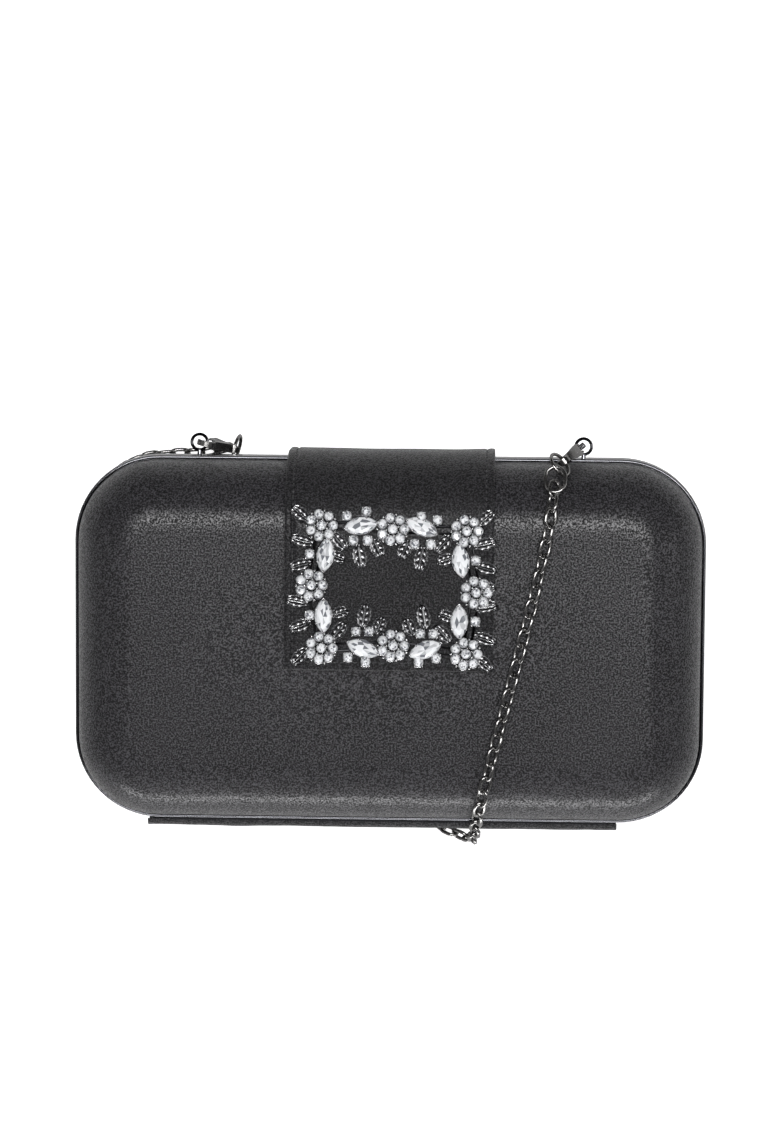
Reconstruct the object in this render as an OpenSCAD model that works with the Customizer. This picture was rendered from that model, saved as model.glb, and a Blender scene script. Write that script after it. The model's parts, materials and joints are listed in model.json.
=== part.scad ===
// Evening bag: a hinged box clutch lying on its back, with a jewelled flap and a detachable cable chain.
// +X to the right, +Y towards the flap's edge, +Z up out of the front face. The origin is the middle of the flat back.

/* [Body] */
// Width over the metal frames, mm
body_w = 200; // [150:1:280]
// Height over the metal frames, mm
body_h = 116; // [90:1:180]
// Corner radius of the frames seen from the front, mm
corner_r = 27; // [25:1:40]
// Rounding between the walls and the faces, mm
face_round = 20; // [12:1:22]
// Straight stretch of wall between a frame and the rounding, mm
wall_straight = 0.5; // [0.2:0.1:12]

/* [Frames] */
// Depth of each frame from the parting line, mm
rim_h = 4.5; // [3.5:0.1:7]
// Thickness of a frame's outer wall, mm
rim_t = 1.0; // [0.8:0.1:1.6]
// Thickness of a frame's mating lip, mm
lip_t = 1.0; // [0.8:0.1:1.6]
// Groove between a frame and the satin, mm
groove = 0.3; // [0.1:0.05:0.8]

/* [Shell layers] */
// Satin cover with its backing, mm
cover_t = 0.7; // [0.5:0.1:1.2]
// Foam padding under the satin, mm
padding_t = 1.5; // [1:0.1:3]
// Moulded core, mm
core_t = 1.6; // [1.2:0.1:3]
// Fabric lining, mm
lining_t = 0.4; // [0.3:0.1:0.8]

/* [Hinge] */
// Length of the hinge, mm
hinge_w = 140; // [80:1:146]
// Radius of the hinge pin, mm
pin_r = 0.6; // [0.5:0.05:0.8]
// Radial clearance of the pin in the front leaf, mm
pin_gap = 0.05; // [0.03:0.01:0.08]
// Wall of a knuckle round the pin, mm
knuckle_wall = 0.6; // [0.5:0.05:0.9]
// Thickness of a leaf's plate, mm
leaf_t = 0.6; // [0.4:0.05:0.8]
// Gap between knuckles along the pin, mm
knuckle_gap = 0.3; // [0.2:0.05:0.6]
// Width of the satin strip over the hinge, mm
strip_w = 150; // [90:1:152]
// Height of the satin strip, mm
strip_h = 4.6; // [3:0.1:5]

/* [Flap] */
// Width of the flap, mm
flap_w = 65; // [45:1:80]
// Length of the flap down the front, mm
flap_drop = 65; // [55:1:80]
// Sideways place of the flap's middle, mm
flap_x = 0.6; // [-3:0.1:3]
// Gap between the flap and the front's satin, mm
flap_gap = 0.8; // [0.6:0.1:2]
// Satin of the flap, face side, mm
flap_face_t = 1.4; // [1:0.1:2]
// Satin of the flap, under side, mm
flap_under_t = 0.4; // [0.3:0.1:0.8]
// Stiffener board in the flap, mm
board_t = 0.7; // [0.5:0.1:0.9]
// Radius of each snap magnet, mm
magnet_r = 6; // [4:0.5:8]
// Thickness of the magnet in the front, mm
magnet_t = 1.2; // [0.8:0.1:1.4]

/* [Brooch] */
// Length of a pointed stone, mm
navette_l = 10; // [6:0.5:11]
// Width of a pointed stone, mm
navette_w = 5; // [3:0.5:6]
// Height of a pointed stone, mm
navette_h = 1.8; // [1:0.1:3]
// Radius of one stone in a flower, mm
petal_r = 1.6; // [1.2:0.1:2]
// Distance from a flower's middle to its petals, mm
petal_ring = 3.0; // [2:0.1:3.6]
// Height of a flower's stones, mm
flower_h = 1.6; // [1:0.1:2.5]
// Radius of a single round stone, mm
chaton_r = 1.6; // [1:0.1:2]
// Thickness of the cast base, mm
base_t = 1.0; // [0.8:0.1:1.6]

/* [Chain fittings] */
// Distance of each eyelet from the middle, mm
eyelet_x = 61; // [45:1:66]
// Outer radius of an eyelet's ring, mm
eyelet_r = 3.05; // [2.6:0.05:3.6]
// Radius of an eyelet's hole, mm
eyelet_hole_r = 2.1; // [1.9:0.05:2.4]
// Thickness of an eyelet, mm
eyelet_t = 1.0; // [0.8:0.1:1.4]
// Distance of an eyelet's middle from the frame, mm
eyelet_out = 3.9; // [3.6:0.1:5]
// Outer radius of a clasp's hook, mm
hook_r = 3.2; // [3:0.1:3.8]
// Width of a clasp's hook wire, mm
hook_wire = 0.8; // [0.7:0.1:1.1]
// Thickness of a clasp, mm
clasp_t = 1.8; // [1.6:0.1:2.4]
// Length of a clasp from its hook's middle to its eye, mm
clasp_l = 11; // [8.5:0.1:13]
// Half the width of the chain, mm
chain_r = 2.4; // [1.5:0.1:3]

/* [Hidden] */
$fn = 48;
arc_steps = 12;

half_depth = rim_h + wall_straight + face_round;
parting_z = half_depth;
corner_cx = body_w / 2 - corner_r;
corner_cy = body_h / 2 - corner_r;
cover_in = rim_t + groove;
padding_in = cover_in + cover_t;
core_in = padding_in + padding_t;
lining_in = core_in + core_t;
hollow_in = lining_in + lining_t;

// Where the rounding of the front half turns, seen from the side.
round_y = body_h / 2 - cover_in - face_round;
round_z = 2 * half_depth - face_round;

knuckle_r = pin_r + pin_gap + knuckle_wall;
barrel_gap = 0.15;
hinge_y = -body_h / 2 - knuckle_r - barrel_gap;
knuckles = 5;
knuckle_l = (hinge_w - (knuckles - 1) * knuckle_gap) / knuckles;
leaf_h = rim_h - 0.6;
leaf_clear = 0.35;
strip_t = 0.35;

flap_turn_y = round_y + 0.3;
flap_turn_z = round_z - 1;
flap_in_r = face_round + 1 + flap_gap;
flap_t = flap_face_t + flap_under_t;
flap_end_y = body_h / 2 - flap_drop;
flap_top_z = flap_turn_z + flap_in_r + flap_t;
flap_foot = 0.5;
pivot_y = flap_turn_y + flap_in_r + flap_t + 0.1;
board_margin = 3.5;
magnet_y = flap_end_y + 13;
snap_gap = 0.1;
tail_end_t = 1.2;
tail_steps = 8;
tail_turn = 90 / arc_steps;
tail_taper = 1.5;

base_z = flap_top_z + 0.05;
stone_z = base_z + base_t;
// Flowers: [x, y] from the flap's middle line and the origin's height.
flowers = [[-20.9, 38.5], [1.2, 37.5], [24.1, 37.1], [27.2, 18],
           [24.2, -1.2], [1.5, 1.2], [-20.8, 0.2], [-24, 19.8]];
// Pointed stones: [x, y, turn].
navettes = [[-8.7, 38.5, 10], [10.2, 38.3, -25], [22.3, 27.8, 98], [22, 8.8, 90],
            [11.5, 0, 22], [-7.8, 0.2, -20], [-20.2, 10.2, 90], [-19.6, 29.2, 82]];
// Single round stones: [x, y].
chatons = [[-8.2, 34.1], [9.4, 33.9], [-8, 4.6], [10.6, 4.4], [-24.6, 30.2], [27.4, 28.6],
           [-25.2, 9.6], [27, 7.4], [-9.2, 42.9], [12, 42.7]];
// Leaves of the casting: [x, y, turn, length].
leaves = [[-10.4, 31.8, -55, 10], [11.4, 31.4, -125, 10], [-9.4, 7, 55, 10], [12.6, 6.4, 125, 10.5],
          [-26.2, 34, 150, 7], [-26.8, 25.4, 175, 7], [-26.8, 14.2, 185, 7], [-25.6, 5, 215, 7],
          [28.8, 33, 30, 7], [29.6, 24, 5, 7], [29.6, 12, -5, 7], [28.6, 3.8, -35, 7],
          [-26, 42.4, 135, 5], [29, 41, 45, 5], [-25.6, -4, 225, 5], [29, -5, -45, 5]];
leaf_w = 2.8;
casting_bar = 5;
casting_r = 4.4;

eyelet_z_in = lip_t + (rim_h - lip_t) / 2;
post_w = 3.8;
shank_r = 0.6;
gate_slot = 0.15;
gate_pin_r = 0.4;
gate_t = clasp_t - 0.8;
gate_at = [4, -1.9];
gate_r = 1;
eye_r = 2;
eye_hole_r = 1.1;
ring_wire_r = 0.55;
ring_r = 3.9;

// Foot of each eyelet on its frame, from which the clasps and rings hang.
right_foot = [eyelet_x, body_h / 2, parting_z + eyelet_z_in];
left_foot = [-eyelet_x, body_h / 2, parting_z - eyelet_z_in];
// How each clasp hangs: the middle of its hook, then roll, tilt and turn.
right_clasp_at = right_foot + [-1.7, 3.1, 1.45];
right_clasp_turn = [-85, -60, 214];
left_clasp_at = left_foot + [2.1, 3.3, -1.45];
left_clasp_turn = [90, 40, -14];
right_ring_at = right_foot + [-7.6, -0.9, 14.55];
right_ring_turn = [35, -121, 0];
left_ring_at = left_foot + [10.9, 1.4, -12.35];
left_ring_turn = [14, 82, 0];

front_route = [[52, 51.8, 46.7], [51.6, 49.8, 48.5], [51.2, 47, 50.2], [50.9, 43.6, 51.7], [50.3, 39.5, 52.6],
               [49.3, 33.5, 52.8], [47.9, 27, 52.8], [45.3, 15, 52.8], [42.4, 3, 52.8], [39.4, -9, 52.8],
               [36.4, -21, 52.8], [33.6, -32, 52.8], [32.2, -38, 52.7], [30.8, -44, 51.5], [29.7, -49.2, 49],
               [28.8, -53.8, 45], [28.2, -57.6, 40], [27.8, -61, 34.8], [27.5, -63.4, 30]];
// Starts a little past the front run's end, where the chain bends as the lid opens.
under_route = [[26.6, -64.4, 24], [24.8, -64.6, 20.6], [21.4, -64.3, 17.6], [17.4, -62.9, 14.6],
               [13.8, -60.4, 11.2], [10.4, -57.4, 7.6], [6.6, -54.8, 4.6], [2, -52.9, 2.9], [-4, -52.1, 2.5],
               [-20, -52, 2.5], [-40, -52, 2.5], [-60, -52, 2.5], [-73, -52, 2.5], [-81, -50.4, 2.5],
               [-87.8, -45.8, 2.5], [-92.4, -39, 2.5], [-94, -31, 2.5], [-94, -10, 2.5], [-94, 10, 2.5],
               [-94, 31, 2.5], [-92.4, 39, 2.5], [-87.8, 45.8, 2.5], [-81, 50, 2.5], [-73, 51.6, 2.5],
               [-54, 51.6, 2.5], [-36, 53.6, 2.5], [0, 53.8, 2.5], [36, 53.6, 2.5], [55, 52.6, 2.5],
               [73, 52, 2.5], [81, 50.4, 2.5], [87.8, 45.8, 2.5], [92.4, 39, 2.5], [94, 31, 2.5],
               [94, 10, 2.5], [94, -10, 2.5], [94, -31, 2.5], [92.4, -39, 2.5], [87.8, -45.8, 2.5],
               [81, -50.4, 2.5], [73, -52, 2.5], [52, -53.4, 2.5], [36, -56.4, 2.5], [24, -58.8, 2.5],
               [12, -60, 2.5], [2, -59.4, 2.5], [-8, -57.8, 2.5], [-20, -57, 2.5], [-46, -57, 2.5],
               [-73, -57, 2.5], [-83, -55, 2.5], [-91.4, -49.4, 2.5], [-97, -41, 2.5], [-99, -31, 2.5],
               [-99, 0, 2.5], [-99, 31, 2.5], [-97, 41, 2.5], [-91.4, 49.4, 2.5], [-83, 54.9, 2.5],
               [-73, 56.6, 2.5], [-64, 56.8, 2.5], [-58, 57.6, 2.6], [-52.6, 59.5, 3]];

// Points of an arc round [cx, cy], from angle a to angle b.
function arc(cx, cy, r, a, b, steps) =
    [for (i = [0 : steps]) let (t = a + (b - a) * i / steps) [cx + r * cos(t), cy + r * sin(t)]];

function reversed(points) = [for (i = [len(points) - 1 : -1 : 0]) points[i]];

// One shell layer's section as [inset from the frame's outline, height], between two depths below the satin.
function layer_edge(inset) =
    let (depth = inset - cover_in, r = face_round - depth)
    concat([[inset, parting_z + lip_t]],
           [for (p = arc(0, round_z, r, 0, 90, arc_steps)) [cover_in + face_round - p[0], p[1]]],
           [[corner_r, 2 * half_depth - depth]]);

function layer(inset, thickness) = concat(layer_edge(inset), reversed(layer_edge(inset + thickness)));

// Sweeps a section round the rounded rectangle: four revolved corners and four straight edges.
module swept(section) {
    for (sx = [-1, 1], sy = [-1, 1])
        translate([sx * corner_cx, sy * corner_cy, 0])
            rotate([0, 0, sx > 0 ? (sy > 0 ? 0 : 270) : (sy > 0 ? 90 : 180)])
                rotate_extrude(angle = 90)
                    polygon([for (p = section) [corner_r - p[0], p[1]]]);
    for (s = [-1, 1]) {
        rotate([90, 0, 90])
            linear_extrude(2 * corner_cx, center = true)
                polygon([for (p = section) [s * (body_h / 2 - p[0]), p[1]]]);
        rotate([90, 0, 0])
            linear_extrude(2 * corner_cy, center = true)
                polygon([for (p = section) [s * (body_w / 2 - p[0]), p[1]]]);
    }
}

// A whole shell layer of the front half.
module shell(inset, thickness) {
    depth = inset - cover_in;
    swept(layer(inset, thickness));
    translate([-corner_cx, -corner_cy, 2 * half_depth - depth - thickness])
        cube([2 * corner_cx, 2 * corner_cy, thickness]);
}

// Turns a front piece into its twin in the back half.
module to_back() {
    translate([0, 0, 2 * parting_z]) mirror([0, 0, 1]) children();
}

module frame_ring() {
    color("#3a3b3f")
        swept([[0, parting_z], [hollow_in, parting_z], [hollow_in, parting_z + lip_t],
               [rim_t, parting_z + lip_t], [rim_t, parting_z + rim_h], [0, parting_z + rim_h]]);
}

module frame_with_eyelet(side) {
    difference() {
        frame_ring();
        translate([side * eyelet_x, body_h / 2 - rim_t - 1, parting_z + eyelet_z_in])
            rotate([-90, 0, 0]) cylinder(h = rim_t + 2, r = shank_r);
    }
}

module cover() { color("#2b2c30") shell(cover_in, cover_t); }

module padding() { color("#6d6d70") shell(padding_in, padding_t); }

module front_padding() {
    difference() {
        padding();
        translate([flap_x, magnet_y, 2 * half_depth - cover_t - magnet_t])
            cylinder(h = magnet_t + 1, r = magnet_r);
    }
}

module front_magnet() {
    color("#8f9094")
        translate([flap_x, magnet_y, 2 * half_depth - cover_t - magnet_t])
            cylinder(h = magnet_t, r = magnet_r);
}

module core() { color("#8d8579") shell(core_in, core_t); }

module lining() { color("#1c1c1f") shell(lining_in, lining_t); }

// Hinge: alternate knuckles of the two leaves on one pin.
function knuckle_x(i) = -hinge_w / 2 + i * (knuckle_l + knuckle_gap);

module leaf(first, bore_r) {
    difference() {
        union() {
            translate([-hinge_w / 2, -body_h / 2 - leaf_t, parting_z + leaf_clear])
                cube([hinge_w, leaf_t, leaf_h - leaf_clear]);
            for (i = [first : 2 : knuckles - 1])
                translate([knuckle_x(i), hinge_y, parting_z])
                    rotate([0, 90, 0]) cylinder(h = knuckle_l, r = knuckle_r);
        }
        for (i = [1 - first : 2 : knuckles - 1])
            translate([knuckle_x(i) - knuckle_gap, hinge_y, parting_z])
                rotate([0, 90, 0]) cylinder(h = knuckle_l + 2 * knuckle_gap, r = knuckle_r + leaf_clear);
        translate([-hinge_w, hinge_y, parting_z]) rotate([0, 90, 0]) cylinder(h = 2 * hinge_w, r = bore_r);
    }
}

module hinge_leaf_front() { color("#3a3b3f") leaf(1, pin_r + pin_gap); }

module hinge_leaf_back() { color("#3a3b3f") to_back() leaf(0, pin_r); }

module hinge_pin() {
    color("#55565a")
        translate([-hinge_w / 2, hinge_y, parting_z]) rotate([0, 90, 0]) cylinder(h = hinge_w, r = pin_r);
}

// Satin strip that lies over the barrel, held by a return under the back leaf's edge.
module hinge_strip() {
    strip_y = hinge_y - knuckle_r - leaf_clear;
    color("#202124") {
        translate([-strip_w / 2, strip_y - strip_t, parting_z - strip_h / 2])
            cube([strip_w, strip_t, strip_h]);
        translate([-strip_w / 2, strip_y - strip_t, parting_z - strip_h / 2 - strip_t])
            cube([strip_w, -body_h / 2 - leaf_t - strip_y + strip_t, strip_t]);
    }
}

// Flap: the moving part from the pivot over the front, in layers.
function flap_band(near, far) =
    concat([[flap_turn_y + flap_in_r + near, parting_z + flap_foot]],
           arc(flap_turn_y, flap_turn_z, flap_in_r + near, 0, 90, arc_steps),
           [[flap_end_y, flap_turn_z + flap_in_r + near], [flap_end_y, flap_turn_z + flap_in_r + far]],
           arc(flap_turn_y, flap_turn_z, flap_in_r + far, 90, 0, arc_steps),
           [[flap_turn_y + flap_in_r + far, parting_z + flap_foot]]);

module flap_layer(near, far) {
    translate([flap_x, 0, 0])
        rotate([90, 0, 90]) linear_extrude(flap_w, center = true) polygon(flap_band(near, far));
}

module board_block(extra) {
    translate([flap_x - flap_w / 2 + board_margin, flap_end_y + board_margin, flap_top_z - flap_face_t - extra])
        cube([flap_w - 2 * board_margin, flap_turn_y - flap_end_y - 2 * board_margin, board_t + extra]);
}

module flap_face() {
    color("#26272a")
        difference() {
            flap_layer(flap_under_t, flap_t);
            board_block(1);
        }
}

module flap_board() { color("#8d8579") board_block(0); }

module flap_under() { color("#1c1c1f") flap_layer(0, flap_under_t); }

module flap_magnet() {
    color("#8f9094")
        translate([flap_x, magnet_y, 2 * half_depth + snap_gap])
            cylinder(h = flap_gap - snap_gap, r = magnet_r);
}

// Fixed root of the flap, glued round the back half's rounding.
module flap_tail() {
    tail_y = flap_turn_y + flap_in_r + flap_t;
    turn_z = 2 * parting_z - round_z;
    top_t = tail_y - round_y - face_round;
    inner = arc(round_y, turn_z, face_round, 0, -tail_turn * tail_steps, tail_steps);
    outer = [for (i = [0 : tail_steps])
        let (r = face_round + tail_end_t + (top_t - tail_end_t) * pow(1 - i / tail_steps, tail_taper),
             t = -tail_turn * i)
        [round_y + r * cos(t), turn_z + r * sin(t)]];
    color("#26272a")
        translate([flap_x, 0, 0])
            rotate([90, 0, 90])
                linear_extrude(flap_w, center = true)
                    polygon(concat([[body_h / 2, parting_z - flap_foot], [body_h / 2, parting_z - rim_h],
                                    [round_y + face_round, parting_z - rim_h]],
                                   inner, reversed(outer), [[tail_y, parting_z - flap_foot]]));
}

// A flat shape with two points, made of two crossing circles.
module pointed(l, w, h) {
    r = (l * l + w * w) / (4 * w);
    linear_extrude(h)
        intersection() {
            translate([0, r - w / 2]) circle(r = r);
            translate([0, w / 2 - r]) circle(r = r);
        }
}

module bar(p, q, w, h) {
    translate([p[0], p[1], 0])
        rotate([0, 0, atan2(q[1] - p[1], q[0] - p[0])])
            translate([0, -w / 2, 0]) cube([norm([q[0] - p[0], q[1] - p[1]]), w, h]);
}

module brooch_casting() {
    color("#4a4a4d")
        translate([flap_x, 0, base_z]) {
            for (i = [0 : len(flowers) - 1]) {
                translate([flowers[i][0], flowers[i][1], 0]) cylinder(h = base_t, r = casting_r);
                bar(flowers[i], flowers[(i + 1) % len(flowers)], casting_bar, base_t);
            }
            for (f = leaves)
                translate([f[0], f[1], 0]) rotate([0, 0, f[2]]) pointed(f[3], leaf_w, base_t);
        }
}

module flower(i) {
    color("#dfe2e8")
        translate([flap_x + flowers[i][0], flowers[i][1], stone_z]) {
            cylinder(h = flower_h, r1 = petal_r, r2 = petal_r * 0.7);
            for (a = [0 : 60 : 300])
                rotate([0, 0, a]) translate([petal_ring, 0, 0])
                    cylinder(h = flower_h, r1 = petal_r, r2 = petal_r * 0.7);
        }
}

module navette(i) {
    color("#c9ccd4")
        translate([flap_x + navettes[i][0], navettes[i][1], stone_z])
            rotate([0, 0, navettes[i][2]]) pointed(navette_l, navette_w, navette_h);
}

module brooch_chatons() {
    color("#dfe2e8")
        for (c = chatons)
            translate([flap_x + c[0], c[1], stone_z]) cylinder(h = flower_h, r1 = chaton_r, r2 = chaton_r * 0.7);
}

// Eyelet of the front half's frame: a flat ring on a stub post with a riveted shank.
module eyelet(side) {
    color("#3a3b3f")
        translate([side * eyelet_x, body_h / 2, parting_z + eyelet_z_in]) {
            difference() {
                union() {
                    translate([0, eyelet_out, -eyelet_t / 2]) cylinder(h = eyelet_t, r = eyelet_r);
                    translate([-post_w / 2, 0, -eyelet_t / 2]) cube([post_w, eyelet_out, eyelet_t]);
                }
                translate([0, eyelet_out, -eyelet_t]) cylinder(h = 2 * eyelet_t, r = eyelet_hole_r);
            }
            translate([0, -rim_t, 0]) rotate([-90, 0, 0]) cylinder(h = rim_t, r = shank_r);
        }
}

// Clasp along +X from the middle of its hook, in the XY plane.
module placed(at, turn) {
    translate(at) rotate([0, 0, turn[2]]) rotate([0, turn[1], 0]) rotate([turn[0], 0, 0]) children();
}

module plate(points, thickness) {
    translate([0, 0, -thickness / 2]) linear_extrude(thickness) polygon(points);
}

module disc(at, r, thickness) {
    translate([at[0], at[1], -thickness / 2]) cylinder(h = thickness, r = r);
}

module clasp_body() {
    color("#4a4a4d")
        difference() {
            union() {
                disc([0, 0], hook_r, clasp_t);
                plate([[1, hook_r - 0.5], [clasp_l, 1.1], [clasp_l, -1.1], [5.4, -3.2], [2.6, -2.9], [2, -1]], clasp_t);
                disc([clasp_l, 0], eye_r, clasp_t);
            }
            disc([0, 0], hook_r - hook_wire, 2 * clasp_t);
            disc([clasp_l, 0], eye_hole_r, 2 * clasp_t);
            plate(concat([[0, 0]], arc(0, 0, 2 * hook_r, 200, 312, 4)), 2 * clasp_t);
            disc(gate_at, gate_r + gate_slot, gate_t + 2 * gate_slot);
            plate([[0, -0.7], [0, -2 * hook_r], [gate_at[0], -2 * hook_r], [gate_at[0], -0.7]], gate_t + 2 * gate_slot);
            disc(gate_at, gate_pin_r, 2 * clasp_t);
        }
}

// Sprung lever that closes the hook's mouth, with a thumb tab.
module clasp_gate() {
    color("#55565a")
        difference() {
            union() {
                disc(gate_at, gate_r, gate_t);
                plate([[gate_at[0], gate_at[1] + 0.9], [-1.9, -1.05], [-2.1, -1.45], [-1.7, -1.9], [0.2, -2.1],
                       [0.6, -3.5], [1.4, -3.6], [2.2, -2.6], [gate_at[0], gate_at[1] - 0.9]], gate_t);
            }
            disc(gate_at, gate_pin_r + pin_gap, 2 * gate_t);
        }
}

module clasp_pin() {
    color("#55565a")
        translate([gate_at[0], gate_at[1], -clasp_t / 2]) cylinder(h = clasp_t, r = gate_pin_r);
}

module jump_ring(at, turn) {
    color("#4a4a4d")
        translate(at) rotate(turn) rotate_extrude() translate([ring_r, 0]) circle(r = ring_wire_r);
}

// A round tube along a route of points.
function unit(v) = v / norm(v);

function heading(route, i) =
    unit(route[min(i + 1, len(route) - 1)] - route[max(i - 1, 0)]);

function side_of(d) = unit(abs(d[2]) > 0.9 ? cross([0, 1, 0], d) : cross([0, 0, 1], d));

module tube(route, r, sides) {
    rings = len(route);
    points = [for (i = [0 : rings - 1])
        let (d = heading(route, i), u = side_of(d), v = cross(d, u))
        for (k = [0 : sides - 1]) route[i] + r * (cos((k + 0.5) * 360 / sides) * u + sin((k + 0.5) * 360 / sides) * v)];
    walls = [for (i = [0 : rings - 2], k = [0 : sides - 1])
        [i * sides + k, (i + 1) * sides + k, (i + 1) * sides + (k + 1) % sides, i * sides + (k + 1) % sides]];
    ends = [[for (k = [0 : sides - 1]) k], [for (k = [sides - 1 : -1 : 0]) (rings - 1) * sides + k]];
    polyhedron(points = points, faces = concat(walls, ends), convexity = 10);
}

module chain_front_run() { color("#5a5a5e") tube(front_route, chain_r, 8); }

module chain_under_run() { color("#5a5a5e") tube(under_route, chain_r, 8); }

to_back() frame_with_eyelet(-1);  // back_frame
to_back() core();  // back_core
to_back() padding();  // back_padding
to_back() cover();  // back_cover
to_back() lining();  // back_lining
frame_with_eyelet(1);  // front_frame
core();  // front_core
front_padding();
cover();  // front_cover
lining();  // front_lining
front_magnet();
hinge_leaf_back();
hinge_leaf_front();
hinge_pin();
hinge_strip();
flap_tail();
flap_face();
flap_board();
flap_under();
flap_magnet();
brooch_casting();
brooch_chatons();
for (i = [0 : len(flowers) - 1])
    flower(i);
for (i = [0 : len(navettes) - 1])
    navette(i);
to_back() eyelet(-1);  // eyelet_left
placed(left_clasp_at, left_clasp_turn) clasp_body();  // clasp_left_body
placed(left_clasp_at, left_clasp_turn) clasp_gate();  // clasp_left_gate
placed(left_clasp_at, left_clasp_turn) clasp_pin();  // clasp_left_pin
jump_ring(left_ring_at, left_ring_turn);  // clasp_left_ring
eyelet(1);  // eyelet_right
placed(right_clasp_at, right_clasp_turn) clasp_body();  // clasp_right_body
placed(right_clasp_at, right_clasp_turn) clasp_gate();  // clasp_right_gate
placed(right_clasp_at, right_clasp_turn) clasp_pin();  // clasp_right_pin
jump_ring(right_ring_at, right_ring_turn);  // clasp_right_ring
chain_front_run();
chain_under_run();
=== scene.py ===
"""Looks of an evening bag: a satin box clutch with a jewelled flap and a cable chain.

The bag lies on its back. +X is to the right, +Y towards the edge that the flap comes over, and +Z
out of the front. Sizes in the classes are millimetres, and a mesh is turned to metres when it
becomes a piece.
"""

import json
import logging
import math
import random
from collections.abc import Callable, Iterable, Sequence
from dataclasses import dataclass, field
from enum import Enum
from typing import ClassVar

import bmesh
import bpy
from mathutils import Euler, Matrix, Vector, noise

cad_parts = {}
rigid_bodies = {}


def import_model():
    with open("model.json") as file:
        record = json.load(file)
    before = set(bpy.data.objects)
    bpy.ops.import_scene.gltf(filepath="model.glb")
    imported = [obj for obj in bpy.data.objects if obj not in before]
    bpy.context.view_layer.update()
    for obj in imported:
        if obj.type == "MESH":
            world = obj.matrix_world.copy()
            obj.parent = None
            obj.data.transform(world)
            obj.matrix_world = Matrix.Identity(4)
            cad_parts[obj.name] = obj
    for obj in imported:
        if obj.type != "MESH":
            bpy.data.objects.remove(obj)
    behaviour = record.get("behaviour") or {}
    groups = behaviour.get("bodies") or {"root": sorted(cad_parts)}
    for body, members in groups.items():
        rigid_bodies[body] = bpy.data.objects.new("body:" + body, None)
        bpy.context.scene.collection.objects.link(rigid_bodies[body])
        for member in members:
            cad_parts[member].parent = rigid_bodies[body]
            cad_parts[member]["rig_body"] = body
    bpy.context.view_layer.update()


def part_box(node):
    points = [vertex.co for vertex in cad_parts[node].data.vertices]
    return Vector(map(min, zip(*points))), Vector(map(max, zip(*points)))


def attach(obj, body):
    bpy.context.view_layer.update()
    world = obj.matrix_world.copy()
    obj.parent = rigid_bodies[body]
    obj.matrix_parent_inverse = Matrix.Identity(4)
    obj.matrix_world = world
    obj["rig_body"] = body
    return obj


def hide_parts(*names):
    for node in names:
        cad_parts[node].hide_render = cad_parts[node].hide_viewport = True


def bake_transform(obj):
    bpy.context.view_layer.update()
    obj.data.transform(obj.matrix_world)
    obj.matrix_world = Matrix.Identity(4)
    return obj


MM = 0.001
LOG = logging.getLogger("evening_bag")
Section = Sequence[tuple[float, float]]


class Half(Enum):
    """The two shells of the box, by the body that carries them."""

    BACK = "back_half"
    FRONT = "front_half"


class Side(Enum):
    """The two ends of the chain."""

    LEFT = "left"
    RIGHT = "right"


# ---------------------------------------------------------------- shader graphs


class Graph:
    """Short hand for adding and joining the nodes of one shader tree."""

    def __init__(self, tree: bpy.types.NodeTree) -> None:
        """Keeps the tree that nodes are added to.

        Args:
            tree: A material's, world's or group's node tree.
        """
        self.tree = tree

    def add(self, kind: str, inputs: dict | None = None, **settings: object) -> bpy.types.Node:
        """Adds one node.

        Args:
            kind: The node's type, without its ShaderNode prefix.
            inputs: Values or output sockets for the named input sockets.
            **settings: Properties of the node itself.

        Returns:
            The new node.
        """
        node = self.tree.nodes.new("ShaderNode" + kind)
        for name, value in settings.items():
            setattr(node, name, value)
        for name, value in (inputs or {}).items():
            self.put(node, name, value)
        return node

    def put(self, node: bpy.types.Node, name: str | int, value: object) -> None:
        """Sets or links one input socket of a node.

        Args:
            node: The node.
            name: The socket's name or number.
            value: A plain value, or an output socket to link.
        """
        if isinstance(value, bpy.types.NodeSocket):
            self.tree.links.new(value, node.inputs[name])
        else:
            node.inputs[name].default_value = value

    def math(self, operation: str, a: object, b: object) -> bpy.types.NodeSocket:
        """Returns the result of a Math node on two values or sockets."""
        return self.add("Math", {0: a, 1: b}, operation=operation).outputs[0]

    def between(self, factor: object, low: object, high: object) -> bpy.types.NodeSocket:
        """Returns a value from low to high as the factor goes from 0 to 1."""
        made = self.add("MapRange", {"Value": factor, "To Min": low, "To Max": high})
        return made.outputs["Result"]

    def sharpened(self, value: bpy.types.NodeSocket, low: float, high: float) -> bpy.types.NodeSocket:
        """Returns a value stretched so that low becomes 0 and high becomes 1."""
        made = self.add("MapRange", {"Value": value, "From Min": low, "From Max": high})
        return made.outputs[0]

    def tint(self, factor: object, dark: Sequence[float],
             light: Sequence[float]) -> bpy.types.NodeSocket:
        """Returns a colour from dark to light as the factor goes from 0 to 1."""
        made = self.add("Mix", data_type="RGBA")
        self.put(made, 0, factor)
        self.put(made, 6, (*dark, 1.0))
        self.put(made, 7, (*light, 1.0))
        return made.outputs[2]


def new_group(name: str, inputs: dict[str, float],
              outputs: Iterable[str]) -> tuple[bpy.types.NodeTree, Graph]:
    """Starts a shader node group with a Vector input, named number inputs and named number outputs.

    Args:
        name: The group's name.
        inputs: Number inputs and their default values.
        outputs: Names of the number outputs.

    Returns:
        The group and a graph on it.
    """
    group = bpy.data.node_groups.new(name, "ShaderNodeTree")
    group.interface.new_socket("Vector", in_out="INPUT", socket_type="NodeSocketVector")
    for label, value in inputs.items():
        made = group.interface.new_socket(label, in_out="INPUT", socket_type="NodeSocketFloat")
        made.default_value = value
    for label in outputs:
        group.interface.new_socket(label, in_out="OUTPUT", socket_type="NodeSocketFloat")
    return group, Graph(group)


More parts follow.
